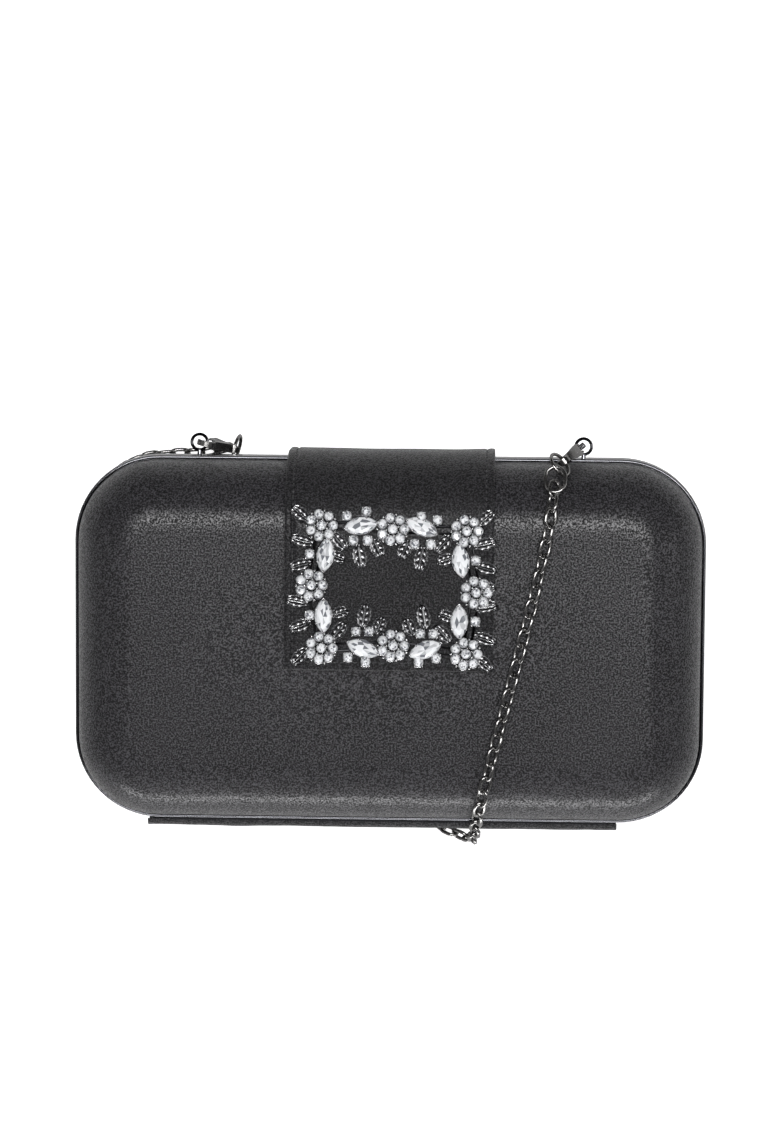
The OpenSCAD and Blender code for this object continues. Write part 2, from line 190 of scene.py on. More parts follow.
def weave_group() -> bpy.types.NodeTree:
    """Satin weave: long floats of yarn crossed by fine ties, with a soft unevenness over centimetres.

    Returns:
        The node group, with outputs Grain, Cloud and Height.
    """
    grain_share, float_share = 0.88, 0.12
    group, g = new_group("Satin weave", {"Yarns": 1900.0, "Float": 5.0}, ("Grain", "Cloud", "Height"))
    start = group.nodes.new("NodeGroupInput")
    end = group.nodes.new("NodeGroupOutput")
    where, yarns = start.outputs["Vector"], start.outputs["Yarns"]
    grain = g.add("TexNoise", {"Vector": where, "Scale": yarns, "Detail": 1.0, "Roughness": 0.6})
    floats = g.add("TexWave", {"Vector": where, "Scale": yarns, "Distortion": start.outputs["Float"],
                               "Detail": 1.0}, bands_direction="DIAGONAL")
    cloud = g.add("TexNoise", {"Vector": where, "Scale": 26.0, "Detail": 3.0})
    sharp = g.sharpened(grain.outputs[0], 0.4, 0.64)
    height = g.math("ADD", g.math("MULTIPLY", sharp, grain_share),
                    g.math("MULTIPLY", floats.outputs[1], float_share))
    g.put(end, "Grain", sharp)
    g.put(end, "Cloud", cloud.outputs[0])
    g.put(end, "Height", height)
    return group


def wear_group() -> bpy.types.NodeTree:
    """Handled metal: smudges, fine scratches and a fine unevenness of the plating.

    Returns:
        The node group, with outputs Smudge, Scratch and Height.
    """
    group, g = new_group("Handled metal", {"Scale": 120.0}, ("Smudge", "Scratch", "Height"))
    start = group.nodes.new("NodeGroupInput")
    end = group.nodes.new("NodeGroupOutput")
    where, scale = start.outputs["Vector"], start.outputs["Scale"]
    smudge = g.add("TexNoise", {"Vector": where, "Scale": scale, "Detail": 4.0, "Roughness": 0.65})
    lines = g.add("Mapping", {"Vector": where, "Rotation": (0.3, 0.5, 0.7), "Scale": (1.0, 14.0, 14.0)})
    scratch = g.add("TexNoise", {"Vector": lines.outputs[0], "Scale": 260.0, "Detail": 2.0})
    thin = g.sharpened(scratch.outputs[0], 0.62, 0.75)
    fine = g.add("TexNoise", {"Vector": where, "Scale": 2200.0, "Detail": 2.0})
    g.put(end, "Smudge", smudge.outputs[0])
    g.put(end, "Scratch", thin)
    g.put(end, "Height", g.math("ADD", g.math("MULTIPLY", thin, -0.5), fine.outputs[0]))
    return group


def placed_group(g: Graph, group: bpy.types.NodeTree, inputs: dict) -> bpy.types.Node:
    """Places a shared group in a material and feeds it Object coordinates.

    Args:
        g: The material's graph.
        group: The shared group.
        inputs: Values for its number inputs.

    Returns:
        The group's node.
    """
    where = g.add("TexCoord").outputs["Object"]
    node = g.add("Group")
    node.node_tree = group
    for name, value in {"Vector": where, **inputs}.items():
        g.put(node, name, value)
    return node


def fresh_material(name: str) -> tuple[bpy.types.Material, Graph, bpy.types.Node]:
    """Starts a material with an empty Principled shader.

    Returns:
        The material, its graph and its Principled node.
    """
    material = bpy.data.materials.new(name)
    material.use_nodes = True
    return material, Graph(material.node_tree), material.node_tree.nodes["Principled BSDF"]


def bumped(g: Graph, height: bpy.types.NodeSocket, depth_mm: float,
           strength: float) -> bpy.types.NodeSocket:
    """Returns the normal of a Bump node over a height, with its depth in millimetres."""
    inputs = {"Height": height, "Distance": depth_mm * MM, "Strength": strength}
    return g.add("Bump", inputs).outputs["Normal"]


@dataclass(frozen=True)
class SatinFinish:
    """A woven satin."""

    name: str
    dark: tuple[float, float, float]
    light: tuple[float, float, float]
    smooth: float = 0.36
    rough: float = 0.52
    yarns: float = 1900.0
    bump: float = 0.3
    sheen: float = 0.12
    glaze: float = 0.75

    def make(self, weave: bpy.types.NodeTree) -> bpy.types.Material:
        """Builds the material.

        Args:
            weave: The shared weave group.

        Returns:
            The finished material.
        """
        material, g, shader = fresh_material(self.name)
        cloth = placed_group(g, weave, {"Yarns": self.yarns})
        mixed = g.math("ADD", g.math("MULTIPLY", g.math("POWER", cloth.outputs["Grain"], 1.5), 0.85),
                       g.math("MULTIPLY", cloth.outputs["Cloud"], 0.22))
        g.put(shader, "Base Color", g.tint(mixed, self.dark, self.light))
        g.put(shader, "Roughness", g.between(cloth.outputs["Grain"], self.rough, self.smooth))
        g.put(shader, "Normal", bumped(g, cloth.outputs["Height"], self.bump, 0.6))
        g.put(shader, "Specular IOR Level", 0.15)
        g.put(shader, "Sheen Weight", self.sheen)
        g.put(shader, "Sheen Roughness", 0.4)
        g.put(shader, "Coat Weight", g.between(cloth.outputs["Grain"], 0.0, self.glaze))
        g.put(shader, "Coat Roughness", 0.3)
        return material


@dataclass(frozen=True)
class MetalFinish:
    """A plated or cast metal."""

    name: str
    dark: tuple[float, float, float]
    light: tuple[float, float, float]
    smooth: float = 0.12
    rough: float = 0.28
    scale: float = 120.0
    bump: float = 0.004
    recess: str = ""

    def make(self, wear: bpy.types.NodeTree) -> bpy.types.Material:
        """Builds the material.

        Args:
            wear: The shared wear group.

        Returns:
            The finished material.
        """
        material, g, shader = fresh_material(self.name)
        marks = placed_group(g, wear, {"Scale": self.scale})
        tone = marks.outputs["Smudge"]
        if self.recess:
            sunk = g.add("Attribute", attribute_name=self.recess).outputs["Fac"]
            tone = g.math("MULTIPLY", g.math("MULTIPLY", tone, 1.6), g.math("SUBTRACT", 1.0, sunk))
        g.put(shader, "Base Color", g.tint(tone, self.dark, self.light))
        worn = g.math("ADD", marks.outputs["Smudge"], g.math("MULTIPLY", marks.outputs["Scratch"], 0.4))
        g.put(shader, "Roughness", g.between(worn, self.smooth, self.rough))
        g.put(shader, "Metallic", 1.0)
        g.put(shader, "Normal", bumped(g, marks.outputs["Height"], self.bump, 0.4))
        return material


@dataclass(frozen=True)
class CrystalFinish:
    """Foil-backed glass, whose facets each get a light or dark colour at random: a painted reflection that
    stands in for the light each facet throws back.
    """

    name: str = "foil_backed_crystal"
    # The facets' colours run from dark to light as painted reflection.
    dark: tuple[float, float, float] = (0.1, 0.11, 0.13)
    light: tuple[float, float, float] = (0.97, 0.98, 1.0)

    def make(self, wear: bpy.types.NodeTree) -> bpy.types.Material:
        """Builds the material.

        Args:
            wear: The shared wear group.

        Returns:
            The finished material.
        """
        material, g, shader = fresh_material(self.name)
        # Painted reflection: each facet's stored share of light sets how light its colour is, with the
        # smudges over it.
        facet = g.add("Attribute", attribute_name=Gem.PAINTED_FACET_LIGHT).outputs["Fac"]
        marks = placed_group(g, wear, {"Scale": 700.0})
        tone = g.math("MULTIPLY", facet, g.between(marks.outputs["Smudge"], 0.8, 1.1))
        g.put(shader, "Base Color", g.tint(tone, self.dark, self.light))
        g.put(shader, "Roughness", g.between(marks.outputs["Smudge"], 0.02, 0.1))
        g.put(shader, "Metallic", 0.05)
        g.put(shader, "Coat Weight", 1.0)
        g.put(shader, "Coat Roughness", 0.02)
        return material


@dataclass(frozen=True)
class BoardFinish:
    """Foam, board or moulded stock that is hidden inside the shells."""

    name: str
    dark: tuple[float, float, float]
    light: tuple[float, float, float]
    grain: float = 900.0

    def make(self, weave: bpy.types.NodeTree) -> bpy.types.Material:
        """Builds the material.

        Args:
            weave: The shared weave group.

        Returns:
            The finished material.
        """
        material, g, shader = fresh_material(self.name)
        stock = placed_group(g, weave, {"Yarns": self.grain, "Float": 20.0})
        g.put(shader, "Base Color", g.tint(stock.outputs["Grain"], self.dark, self.light))
        g.put(shader, "Roughness", g.between(stock.outputs["Cloud"], 0.7, 0.95))
        g.put(shader, "Normal", bumped(g, stock.outputs["Height"], 0.08, 0.5))
        return material


@dataclass
class Finishes:
    """Every material of the bag, made once."""

    satin: bpy.types.Material = field(init=False)
    flap_satin: bpy.types.Material = field(init=False)
    lining: bpy.types.Material = field(init=False)
    thread: bpy.types.Material = field(init=False)
    black_nickel: bpy.types.Material = field(init=False)
    steel: bpy.types.Material = field(init=False)
    gunmetal: bpy.types.Material = field(init=False)
    casting: bpy.types.Material = field(init=False)
    crystal: bpy.types.Material = field(init=False)
    core: bpy.types.Material = field(init=False)
    foam: bpy.types.Material = field(init=False)
    board: bpy.types.Material = field(init=False)
    magnet: bpy.types.Material = field(init=False)

    def __post_init__(self) -> None:
        """Builds the shared groups and then the finishes."""
        weave = weave_group()
        wear = wear_group()
        self.make_fabrics(weave)
        self.make_metals(wear)
        self.make_hidden(weave)
        self.crystal = CrystalFinish().make(wear)

    def make_fabrics(self, weave: bpy.types.NodeTree) -> None:
        """Builds the satins and the sewing thread."""
        gap = (0.001, 0.001, 0.001)
        self.satin = SatinFinish("charcoal_satin", gap, (0.056, 0.054, 0.061)).make(weave)
        self.flap_satin = SatinFinish("black_satin", gap, (0.04, 0.039, 0.043), smooth=0.34, rough=0.5,
                                      glaze=0.26).make(weave)
        self.lining = SatinFinish("lining_satin", (0.004, 0.004, 0.005), (0.018, 0.018, 0.02),
                                  smooth=0.3, rough=0.42, yarns=2400.0).make(weave)
        self.thread = SatinFinish("black_thread", (0.01, 0.01, 0.011), (0.1, 0.1, 0.105), yarns=5200.0,
                                  bump=0.03).make(weave)

    def make_metals(self, wear: bpy.types.NodeTree) -> None:
        """Builds the plated, cast and polished metals."""
        self.black_nickel = MetalFinish("polished_black_nickel", (0.13, 0.13, 0.14), (0.2, 0.2, 0.215),
                                        smooth=0.08, rough=0.2, scale=60.0).make(wear)
        self.steel = MetalFinish("polished_steel", (0.25, 0.25, 0.26), (0.4, 0.4, 0.41)).make(wear)
        self.gunmetal = MetalFinish("polished_gunmetal", (0.17, 0.165, 0.16), (0.36, 0.355, 0.35),
                                    smooth=0.14, rough=0.32, scale=420.0).make(wear)
        self.casting = MetalFinish("darkened_casting", (0.015, 0.015, 0.016), (0.72, 0.72, 0.73),
                                   smooth=0.14, rough=0.34, scale=900.0, bump=0.03,
                                   recess=Leaf.RECESS).make(wear)
        self.magnet = MetalFinish("plated_magnet", (0.35, 0.35, 0.36), (0.5, 0.5, 0.51),
                                  rough=0.35).make(wear)

    def make_hidden(self, weave: bpy.types.NodeTree) -> None:
        """Builds the stock of the core, the foam and the stiffener."""
        self.core = BoardFinish("moulded_core", (0.22, 0.2, 0.17), (0.32, 0.29, 0.24)).make(weave)
        self.foam = BoardFinish("thin_foam", (0.14, 0.14, 0.14), (0.24, 0.24, 0.24),
                                grain=1500.0).make(weave)
        self.board = BoardFinish("stiffener_board", (0.22, 0.19, 0.14), (0.34, 0.3, 0.24)).make(weave)


# ---------------------------------------------------------------- mesh helpers


def piece(name: str, bm: bmesh.types.BMesh, material: bpy.types.Material,
          sharp_deg: float = 40.0) -> bpy.types.Object:
    """Turns a bmesh in millimetres into a piece in metres.

    Args:
        name: The piece's name.
        bm: The mesh, which is freed.
        material: Its material.
        sharp_deg: Edges sharper than this stay crisp. At 0 every face is flat.

    Returns:
        The new object.
    """
    bmesh.ops.scale(bm, vec=(MM, MM, MM), verts=bm.verts)
    mesh = bpy.data.meshes.new(name)
    bm.to_mesh(mesh)
    bm.free()
    mesh.materials.append(material)
    if sharp_deg > 0:
        mesh.shade_smooth()
        mesh.set_sharp_from_angle(angle=math.radians(sharp_deg))
    obj = bpy.data.objects.new(name, mesh)
    bpy.context.scene.collection.objects.link(obj)
    LOG.info("%s: %d faces", name, len(mesh.polygons))
    return obj


def pulled(bm: bmesh.types.BMesh, edges: list[bmesh.types.BMEdge], shifts: Iterable[Vector]) -> list:
    """Extrudes a row of edges by one shift after another.

    Args:
        bm: The mesh.
        edges: The edges to start from.
        shifts: How far each new row lies from the one before.

    Returns:
        The last row's edges.
    """
    for shift in shifts:
        made = bmesh.ops.extrude_edge_only(bm, edges=edges)["geom"]
        verts = [e for e in made if isinstance(e, bmesh.types.BMVert)]
        own = set(verts)
        edges = [e for e in made if isinstance(e, bmesh.types.BMEdge) and own.issuperset(e.verts)]
        bmesh.ops.translate(bm, verts=verts, vec=shift)
    return edges


def strung(bm: bmesh.types.BMesh, points: Iterable[Vector], closed: bool) -> list[bmesh.types.BMEdge]:
    """Lays a string of edges through points.

    Returns:
        The edges.
    """
    verts = [bm.verts.new(p) for p in points]
    pairs = list(zip(verts, verts[1:]))
    if closed:
        pairs.append((verts[-1], verts[0]))
    return [bm.edges.new(pair) for pair in pairs]


def stamped(bm: bmesh.types.BMesh, shape: bpy.types.Mesh, matrix: Matrix) -> None:
    """Adds a copy of a shape to a mesh, moved by a matrix."""
    copy = shape.copy()
    copy.transform(matrix)
    bm.from_mesh(copy)
    bpy.data.meshes.remove(copy)


def kept(bm: bmesh.types.BMesh, name: str) -> bpy.types.Mesh:
    """Returns a bmesh as plain mesh data for stamping, and frees it."""
    mesh = bpy.data.meshes.new(name)
    bm.to_mesh(mesh)
    bm.free()
    return mesh


def arc(cy: float, cz: float, radius: float, start: float, end: float,
        steps: int) -> list[tuple[float, float]]:
    """Returns points of an arc round a centre, with its angles in degrees."""
    turns = [math.radians(start + (end - start) * i / steps) for i in range(steps + 1)]
    return [(cy + radius * math.cos(t), cz + radius * math.sin(t)) for t in turns]


def softened(node: str, name: str, material: bpy.types.Material, width: float,
             swell: Callable[[Vector], Vector] | None = None) -> bpy.types.Object:
    """Replaces a sharp machined node by a copy whose edges are rounded over.

    Args:
        node: The node to stand for.
        name: The new piece's name.
        material: Its material.
        width: Width of the rounding, mm.
        swell: Where each point in millimetres goes before the rounding, if it moves.

    Returns:
        The new piece, riding on the node's body.
    """
    source = bpy.data.objects[node]
    bm = bmesh.new()
    bm.from_mesh(source.data)
    bmesh.ops.remove_doubles(bm, verts=bm.verts, dist=1e-6)
    bmesh.ops.dissolve_limit(bm, angle_limit=math.radians(1.0), verts=bm.verts, edges=bm.edges)
    bmesh.ops.scale(bm, vec=(1 / MM,) * 3, verts=bm.verts)
    for v in bm.verts if swell else ():
        v.co = swell(v.co)
    obj = piece(name, bm, material)
    bevel = obj.modifiers.new("rounded_edges", "BEVEL")
    bevel.width = width * MM
    bevel.segments = 2
    bevel.limit_method = "ANGLE"
    bevel.angle_limit = math.radians(35)
    bevel.use_clamp_overlap = True
    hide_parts(node)
    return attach(obj, source["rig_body"])


def dress(material: bpy.types.Material, *nodes: str) -> None:
    """Gives carried-over nodes a material."""
    for node in nodes:
        data = bpy.data.objects[node].data
        data.materials.clear()
        data.materials.append(material)


def bent_link(length: float, width: float, wire: float, steps: int) -> bpy.types.Mesh:
    """Bends one oval link in the XY plane, long side along X.

    Args:
        length: Outer length.
        width: Outer width.
        wire: Thickness of the wire.
        steps: Faces round the link.

    Returns:
        The link's mesh.
    """
    bm = bmesh.new()
    ring = bmesh.ops.create_circle(bm, cap_ends=False, segments=6, radius=wire / 2)["verts"]
    bmesh.ops.rotate(bm, verts=ring, matrix=Matrix.Rotation(math.pi / 2, 3, "X"))
    bmesh.ops.translate(bm, verts=ring, vec=((width - wire) / 2, 0, 0))
    bmesh.ops.spin(bm, geom=[*bm.verts, *bm.edges], cent=(0, 0, 0), axis=(0, 0, 1), angle=math.tau,
                   steps=steps, use_merge=True)
    bmesh.ops.remove_doubles(bm, verts=bm.verts, dist=0.001)
    stretch = (length - width) / 2
    for v in bm.verts:
        v.co.x += stretch * max(-1.0, min(1.0, v.co.x / (wire * 0.6)))
    bmesh.ops.recalc_face_normals(bm, faces=bm.faces)
    return kept(bm, "link_shape")


# ---------------------------------------------------------------- shells


@dataclass
class Plan:
    """The rounded rectangle that the frames and every layer of the shells follow, with its sweeps."""

    half_w: float
    half_h: float
    parting: float
    depth: float
    corner_r: float = 27.0
    corner_steps: int = 16
    long_steps: int = 18
    short_steps: int = 8

    @classmethod
    def from_frame(cls) -> "Plan":
        """Reads the plan's size from the metal frames and the satin cover."""
        low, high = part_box("front_frame")
        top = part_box("front_cover")[1].z
        return cls(high.x / MM, high.y / MM, low.z / MM, top / MM - low.z / MM)

    @property
    def corner_x(self) -> float:
        """X of the corner arcs' centres."""
        return self.half_w - self.corner_r

    @property
    def corner_y(self) -> float:
        """Y of the corner arcs' centres."""
        return self.half_h - self.corner_r

    def sweep(self, section: Section, closed: bool) -> bmesh.types.BMesh:
        """Sweeps a section round the plan.

        One corner is spun, its ends are pulled straight, and the quarter is mirrored twice.

        Args:
            section: Points of (inset from the outline, height over the parting line).
            closed: Whether the section is a loop. An open one ends on the corner arcs' axis.

        Returns:
            The swept solid.
        """
        bm = bmesh.new()
        cx, cy = self.corner_x, self.corner_y
        points = [Vector((self.half_w - inset, cy, self.parting + z)) for inset, z in section]
        edges = strung(bm, points, closed)
        geometry = [*{v for e in edges for v in e.verts}, *edges]
        spun = bmesh.ops.spin(bm, geom=geometry, cent=(cx, cy, 0), axis=(0, 0, 1), angle=math.pi / 2,
                              steps=self.corner_steps)
        last = [e for e in spun["geom_last"] if isinstance(e, bmesh.types.BMEdge)]
        across = [Vector((-cx / self.long_steps, 0, 0))] * self.long_steps
        down = [Vector((0, -cy / self.short_steps, 0))] * self.short_steps
        pulled(bm, last, across)
        pulled(bm, edges, down)
        if not closed:
            pulled(bm, self._axis_edges(bm), across)
        bmesh.ops.remove_doubles(bm, verts=bm.verts, dist=0.001)
        for axis in ("X", "Y"):
            whole = [*bm.verts, *bm.edges, *bm.faces]
            bmesh.ops.mirror(bm, geom=whole, matrix=Matrix.Identity(4), merge_dist=0.001, axis=axis)
        bmesh.ops.remove_doubles(bm, verts=bm.verts, dist=0.001)
        bmesh.ops.dissolve_degenerate(bm, edges=bm.edges, dist=0.0005)
        bmesh.ops.recalc_face_normals(bm, faces=bm.faces)
        return bm

    def _axis_edges(self, bm: bmesh.types.BMesh) -> list[bmesh.types.BMEdge]:
        """Returns the open edges along the flat face's side, from which the face is drawn."""
        near = 0.001

        def on_axis(v: bmesh.types.BMVert) -> bool:
            return abs(v.co.x - self.corner_x) < near and v.co.y < self.corner_y + near

        return [e for e in bm.edges if e.is_boundary and all(on_axis(v) for v in e.verts)]

    def turned_over(self, bm: bmesh.types.BMesh) -> bmesh.types.BMesh:
        """Turns a front piece into its twin in the back half."""
        bmesh.ops.scale(bm, vec=(1, 1, -1), verts=bm.verts)
        bmesh.ops.translate(bm, vec=(0, 0, 2 * self.parting), verts=bm.verts)
        bmesh.ops.reverse_faces(bm, faces=bm.faces)
        return bm


@dataclass
class Shell:
    """One half of the box: polished frame, padded satin cover and lining."""

    plan: Plan
    finishes: Finishes
    half: Half
    face_round: float = 20.0
    cover_inset: float = 1.3
    cover_t: float = 0.7
    lining_inset: float = 5.1
    lining_t: float = 0.4
    rim_h: float = 4.5
    lip_inset: float = 5.5
    lip_t: float = 1.0
    face_margin: float = 2.6
    dome: float = 0.3
    slack: float = 0.12
    fill: float = 0.95

    def layer(self, inset: float, thickness: float) -> Section:
        """Returns the section of a fabric layer, down its outside and up its inside.

        Args:
            inset: Distance of the layer's wall from the outline, mm.
            thickness: The layer's thickness, mm.

        Returns:
            Points of (inset, height).
        """
        def edge(at: float) -> list[tuple[float, float]]:
            below = at - self.cover_inset
            radius = self.face_round - below
            centre = self.plan.depth - self.face_round
            curve = arc(self.cover_inset + self.face_round, centre, radius, 180, 90, 14)
            level = self.plan.depth - below
            flat = [(self.plan.corner_r - self.face_margin, level), (self.plan.corner_r, level)]
            return [(at, self.lip_t), (at, centre * 0.6), *curve, *flat]
        outer, inner = edge(inset), edge(inset + thickness)
        return [*reversed(outer), *inner]

    def soften(self, bm: bmesh.types.BMesh) -> None:
        """Gives stretched fabric its faint crown and unevenness, away from the frame that holds it."""
        plan = self.plan
        flat_x = plan.half_w - self.cover_inset - self.face_round
        flat_y = plan.half_h - self.cover_inset - self.face_round
        for v in bm.verts:
            rise = min(1.0, max(0.0, (v.co.z - plan.parting - self.rim_h) / self.face_round))
            u = min(1.0, abs(v.co.x) / flat_x)
            w = min(1.0, abs(v.co.y) / flat_y)
            v.co.z += self.dome * ((1 - u * u) * (1 - w * w)) ** 2 * rise
            uneven = noise.noise(v.co * 0.045) * self.slack * rise
            v.co += Vector((v.co.x / plan.half_w, v.co.y / plan.half_h, 0.6)) * uneven
            if self.half is Half.BACK:
                v.co.z = min(v.co.z, plan.parting + plan.depth)

    def build(self) -> None:
        """Builds the half's frame, cover and lining."""
        self.build_frame()
        self.build_fabric("cover", self.cover_inset, self.cover_t, self.finishes.satin)
        self.build_fabric("lining", self.lining_inset, self.lining_t, self.finishes.lining)

    def build_frame(self) -> None:
        """Builds the polished frame with a bead along its wall and rolled rims."""
        wall, bead, turn = 1.0, 0.12, 0.2
        top, lip = self.rim_h, self.lip_inset
        outside = [(0.45, 0.0), (0.12, 0.12), (0.0, 0.5), (-bead, top * 0.45), (-0.02, top - 0.7)]
        rim = [(0.1, top - 0.22), (0.38, top), (0.68, top), (wall - 0.06, top - turn), (wall, top - 0.6)]
        inside = [(wall, self.lip_t), (lip - turn, self.lip_t), (lip, self.lip_t - turn), (lip, turn),
                  (lip - turn, 0.0)]
        section = [*outside, *rim, *inside]
        bm = self.plan.sweep(section, closed=True)
        self.finish("frame", bm, self.finishes.black_nickel, 50)

    def build_fabric(self, part: str, inset: float, thickness: float, material: bpy.types.Material) -> None:
        """Builds one fabric layer as a closed, softly uneven skin.

        Args:
            part: The layer's name, as the frame's node has it.
            inset: Distance of the layer's wall from the outline, mm.
            thickness: The layer's thickness, mm.
            material: The fabric.
        """
        bm = self.plan.sweep(self.layer(inset, thickness), closed=False)
        self.soften(bm)
        obj = self.finish(part, bm, material, 60)
        smooth = obj.modifiers.new("soft", "SUBSURF")
        smooth.levels = 1
        smooth.render_levels = 1

    def finish(self, part: str, bm: bmesh.types.BMesh, material: bpy.types.Material,
               sharp_deg: float) -> bpy.types.Object:
        """Turns the piece over for the back half, names it and sets it on its body."""
        prefix = self.half.value.split("_")[0]
        if self.half is Half.BACK:
            bm = self.plan.turned_over(bm)
        obj = piece(f"{prefix}_{part}_made", bm, material, sharp_deg)
        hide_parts(f"{prefix}_{part}")
        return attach(obj, self.half.value)


# ---------------------------------------------------------------- hinge strip and flap


@dataclass
class HingeStrip:
    """Black satin ribbon drawn round the hinge's barrel from one frame to the other."""

    plan: Plan
    finishes: Finishes
    half_w: float = 75.0
    middle: float = -2.0
    out: float = 3.15
    glued_out: float = 0.7
    thickness: float = 0.35
    wave: float = 0.28
    ripple: float = 0.12
    bend: float = 2.2
    steps: int = 90

    def build(self) -> None:
        """Builds the ribbon, with its wavy free side."""
        bm = bmesh.new()
        y, z = -self.plan.half_h, self.plan.parting
        out = self.out
        upper = [(y - out * 0.9, z + 1.9), (y - out * 0.62, z + 2.9), (y - self.glued_out, z + 3.1)]
        lower = [(at, 2 * z - height) for at, height in reversed(upper)]
        section = [*lower, (y - out, z), *upper]
        edges = strung(bm, (Vector((self.middle - self.half_w, *p)) for p in section), closed=False)
        pulled(bm, edges, [Vector((2 * self.half_w / self.steps, 0, 0))] * self.steps)
        for v in bm.verts:
            away = (y - v.co.y) / out
            v.co.y += self.wave * away * noise.noise(Vector((v.co.x * 0.05, 3.0, 0.0)))
            v.co.y += self.ripple * away * noise.noise(Vector((v.co.x * 0.21, 7.0, v.co.z * 0.3)))
        bmesh.ops.recalc_face_normals(bm, faces=bm.faces)
        bmesh.ops.solidify(bm, geom=bm.faces[:], thickness=self.thickness)
        bmesh.ops.recalc_face_normals(bm, faces=bm.faces)
        obj = piece("hinge_ribbon", bm, self.finishes.flap_satin, 60)
        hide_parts("hinge_strip")
        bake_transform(obj)


@dataclass
class Flap:
    """The fabric flap: glued round the back half, over the top edge and down the front."""

    plan: Plan
    finishes: Finishes
    middle: float = 0.6
    half_w: float = 32.5
    turn_y: float = 37.0
    turn_z: float = 29.0
    inner_r: float = 21.8
    thickness: float = 1.8
    under_t: float = 0.4
    tail_r: float = 20.0
    tail_y: float = 36.7
    tail_z: float = 20.0
    tail_end_t: float = 1.2
    seam_in: float = 2.5
    side_seam: float = 0.38
    end_seam: float = 0.3
    fold_sag: float = 0.4
    slack: float = 0.14
    stitch: float = 2.1
    stitch_size: tuple[float, float, float] = (0.22, 0.78, 0.17)
    stitch_sunk: float = 0.27

    @property
    def end_y(self) -> float:
        """Y of the flap's free end."""
        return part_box("flap_face")[0].y / MM

    @property
    def outer_r(self) -> float:
        """Radius of the flap's bend on its face side."""
        return self.inner_r + self.thickness

    def tail_outer(self, turn: float) -> tuple[float, float]:
        """Returns a point of the root's tapering outside, at degrees below the horizontal."""
        top_t = self.turn_y + self.outer_r - self.tail_y - self.tail_r
        radius = self.tail_r + self.tail_end_t + (top_t - self.tail_end_t) * (1 - turn / 60) ** 1.5
        t = math.radians(-turn)
        return self.tail_y + radius * math.cos(t), self.tail_z + radius * math.sin(t)

    def face_line(self) -> list[tuple[float, float]]:
        """Returns the outside of the flap in (y, z), from the root's end to the free end."""
        top = self.turn_z + self.outer_r
        root = [self.tail_outer(turn) for turn in range(60, -1, -6)]
        wall = self.turn_y + self.outer_r
        straight = [(wall, z) for z in (21.5, 23.0, 24.5, 26.0, 27.5)]
        over = arc(self.turn_y, self.turn_z, self.outer_r, 0, 90, 22)
        run = self.turn_y - self.end_y
        flat = [(self.turn_y - run * i / 16, top) for i in range(1, 16)]
        end = [(self.end_y + 0.5, top), (self.end_y + 0.1, top - 0.15), (self.end_y - 0.1, top - 0.6)]
        return [*root, *straight, *over, *flat, *end]

    def inside_line(self, near: float) -> list[tuple[float, float]]:
        """Returns a line within the flap in (y, z), from the free end back to the root's end.

        Args:
            near: How far it lies from the flap's inner side, mm.

        Returns:
            The points.
        """
        level = self.turn_z + self.inner_r + near
        flat = [(self.end_y + 0.1 + (self.turn_y - self.end_y) * i / 16, level) for i in range(16)]
        over = arc(self.turn_y, self.turn_z, self.inner_r + near, 90, 0, 22)
        frame_y = self.plan.half_h + 0.2 + near
        wall = [(frame_y + 0.5, 27.0), (frame_y + 0.2, 25.5), (frame_y, 24.0), (frame_y - 0.1, 22.0)]
        root = arc(self.tail_y, self.tail_z, self.tail_r + 0.1 + near, -3, -60, 10)
        return [*flat, *over, *wall, *root]

    def columns(self) -> list[float]:
        """Returns the distances across the flap between rows of its mesh, closer at the seams."""
        seam = [self.seam_in + off for off in (-0.45, -0.15, 0.0, 0.15, 0.45)]
        edge = [0.0, 0.15, 0.5, 1.2, *seam, 4.2]
        inner = [6.5 + i * (2 * self.half_w - 13.0) / 20 for i in range(21)]
        return [*edge, *inner, *(2 * self.half_w - e for e in reversed(edge))]

    def band(self, loop: Section) -> bmesh.types.BMesh:
        """Draws a closed (y, z) loop across the flap's width and closes its two sides."""
        bm = bmesh.new()
        places = self.columns()
        left = self.middle - self.half_w
        first = strung(bm, (Vector((left, y, z)) for y, z in loop), closed=True)
        shifts = [Vector((b - a, 0, 0)) for a, b in zip(places, places[1:])]
        last = pulled(bm, first, shifts)
        bmesh.ops.holes_fill(bm, edges=first)
        bmesh.ops.holes_fill(bm, edges=last)
        bmesh.ops.recalc_face_normals(bm, faces=bm.faces)
        return bm

    def lowered(self, co: Vector) -> float:
        """Returns how far the face side sinks at a point, for its turned edges, seam and slack."""
        across = abs(co.x - self.middle)
        from_side = self.half_w - across
        from_end = co.y - self.end_y
        edge = 0.5 * math.exp(-from_side / 0.3) + 0.25 * math.exp(-max(from_end, 0.0) / 0.5)
        seam = self.side_seam * math.exp(-(((from_side - self.seam_in) / 0.34) ** 2))
        if co.z > self.turn_z + self.inner_r:
            seam = max(seam, self.end_seam * math.exp(-(((from_end - self.seam_in) / 0.45) ** 2)))
        sag = self.fold_sag * (1 - (across / self.half_w) ** 4) if co.y > self.turn_y else 0.0
        slack = self.slack * noise.noise(co * 0.07)
        return edge + seam + sag + slack

    def outward(self, co: Vector) -> Vector:
        """Returns the direction out of the flap's face side at a point."""
        if co.z < self.tail_z:
            return Vector((0, co.y - self.tail_y, co.z - self.tail_z)).normalized()
        if co.z < self.turn_z:
            return Vector((0, 1, 0))
        if co.y > self.turn_y:
            return Vector((0, co.y - self.turn_y, co.z - self.turn_z)).normalized()
        return Vector((0, 0, 1))

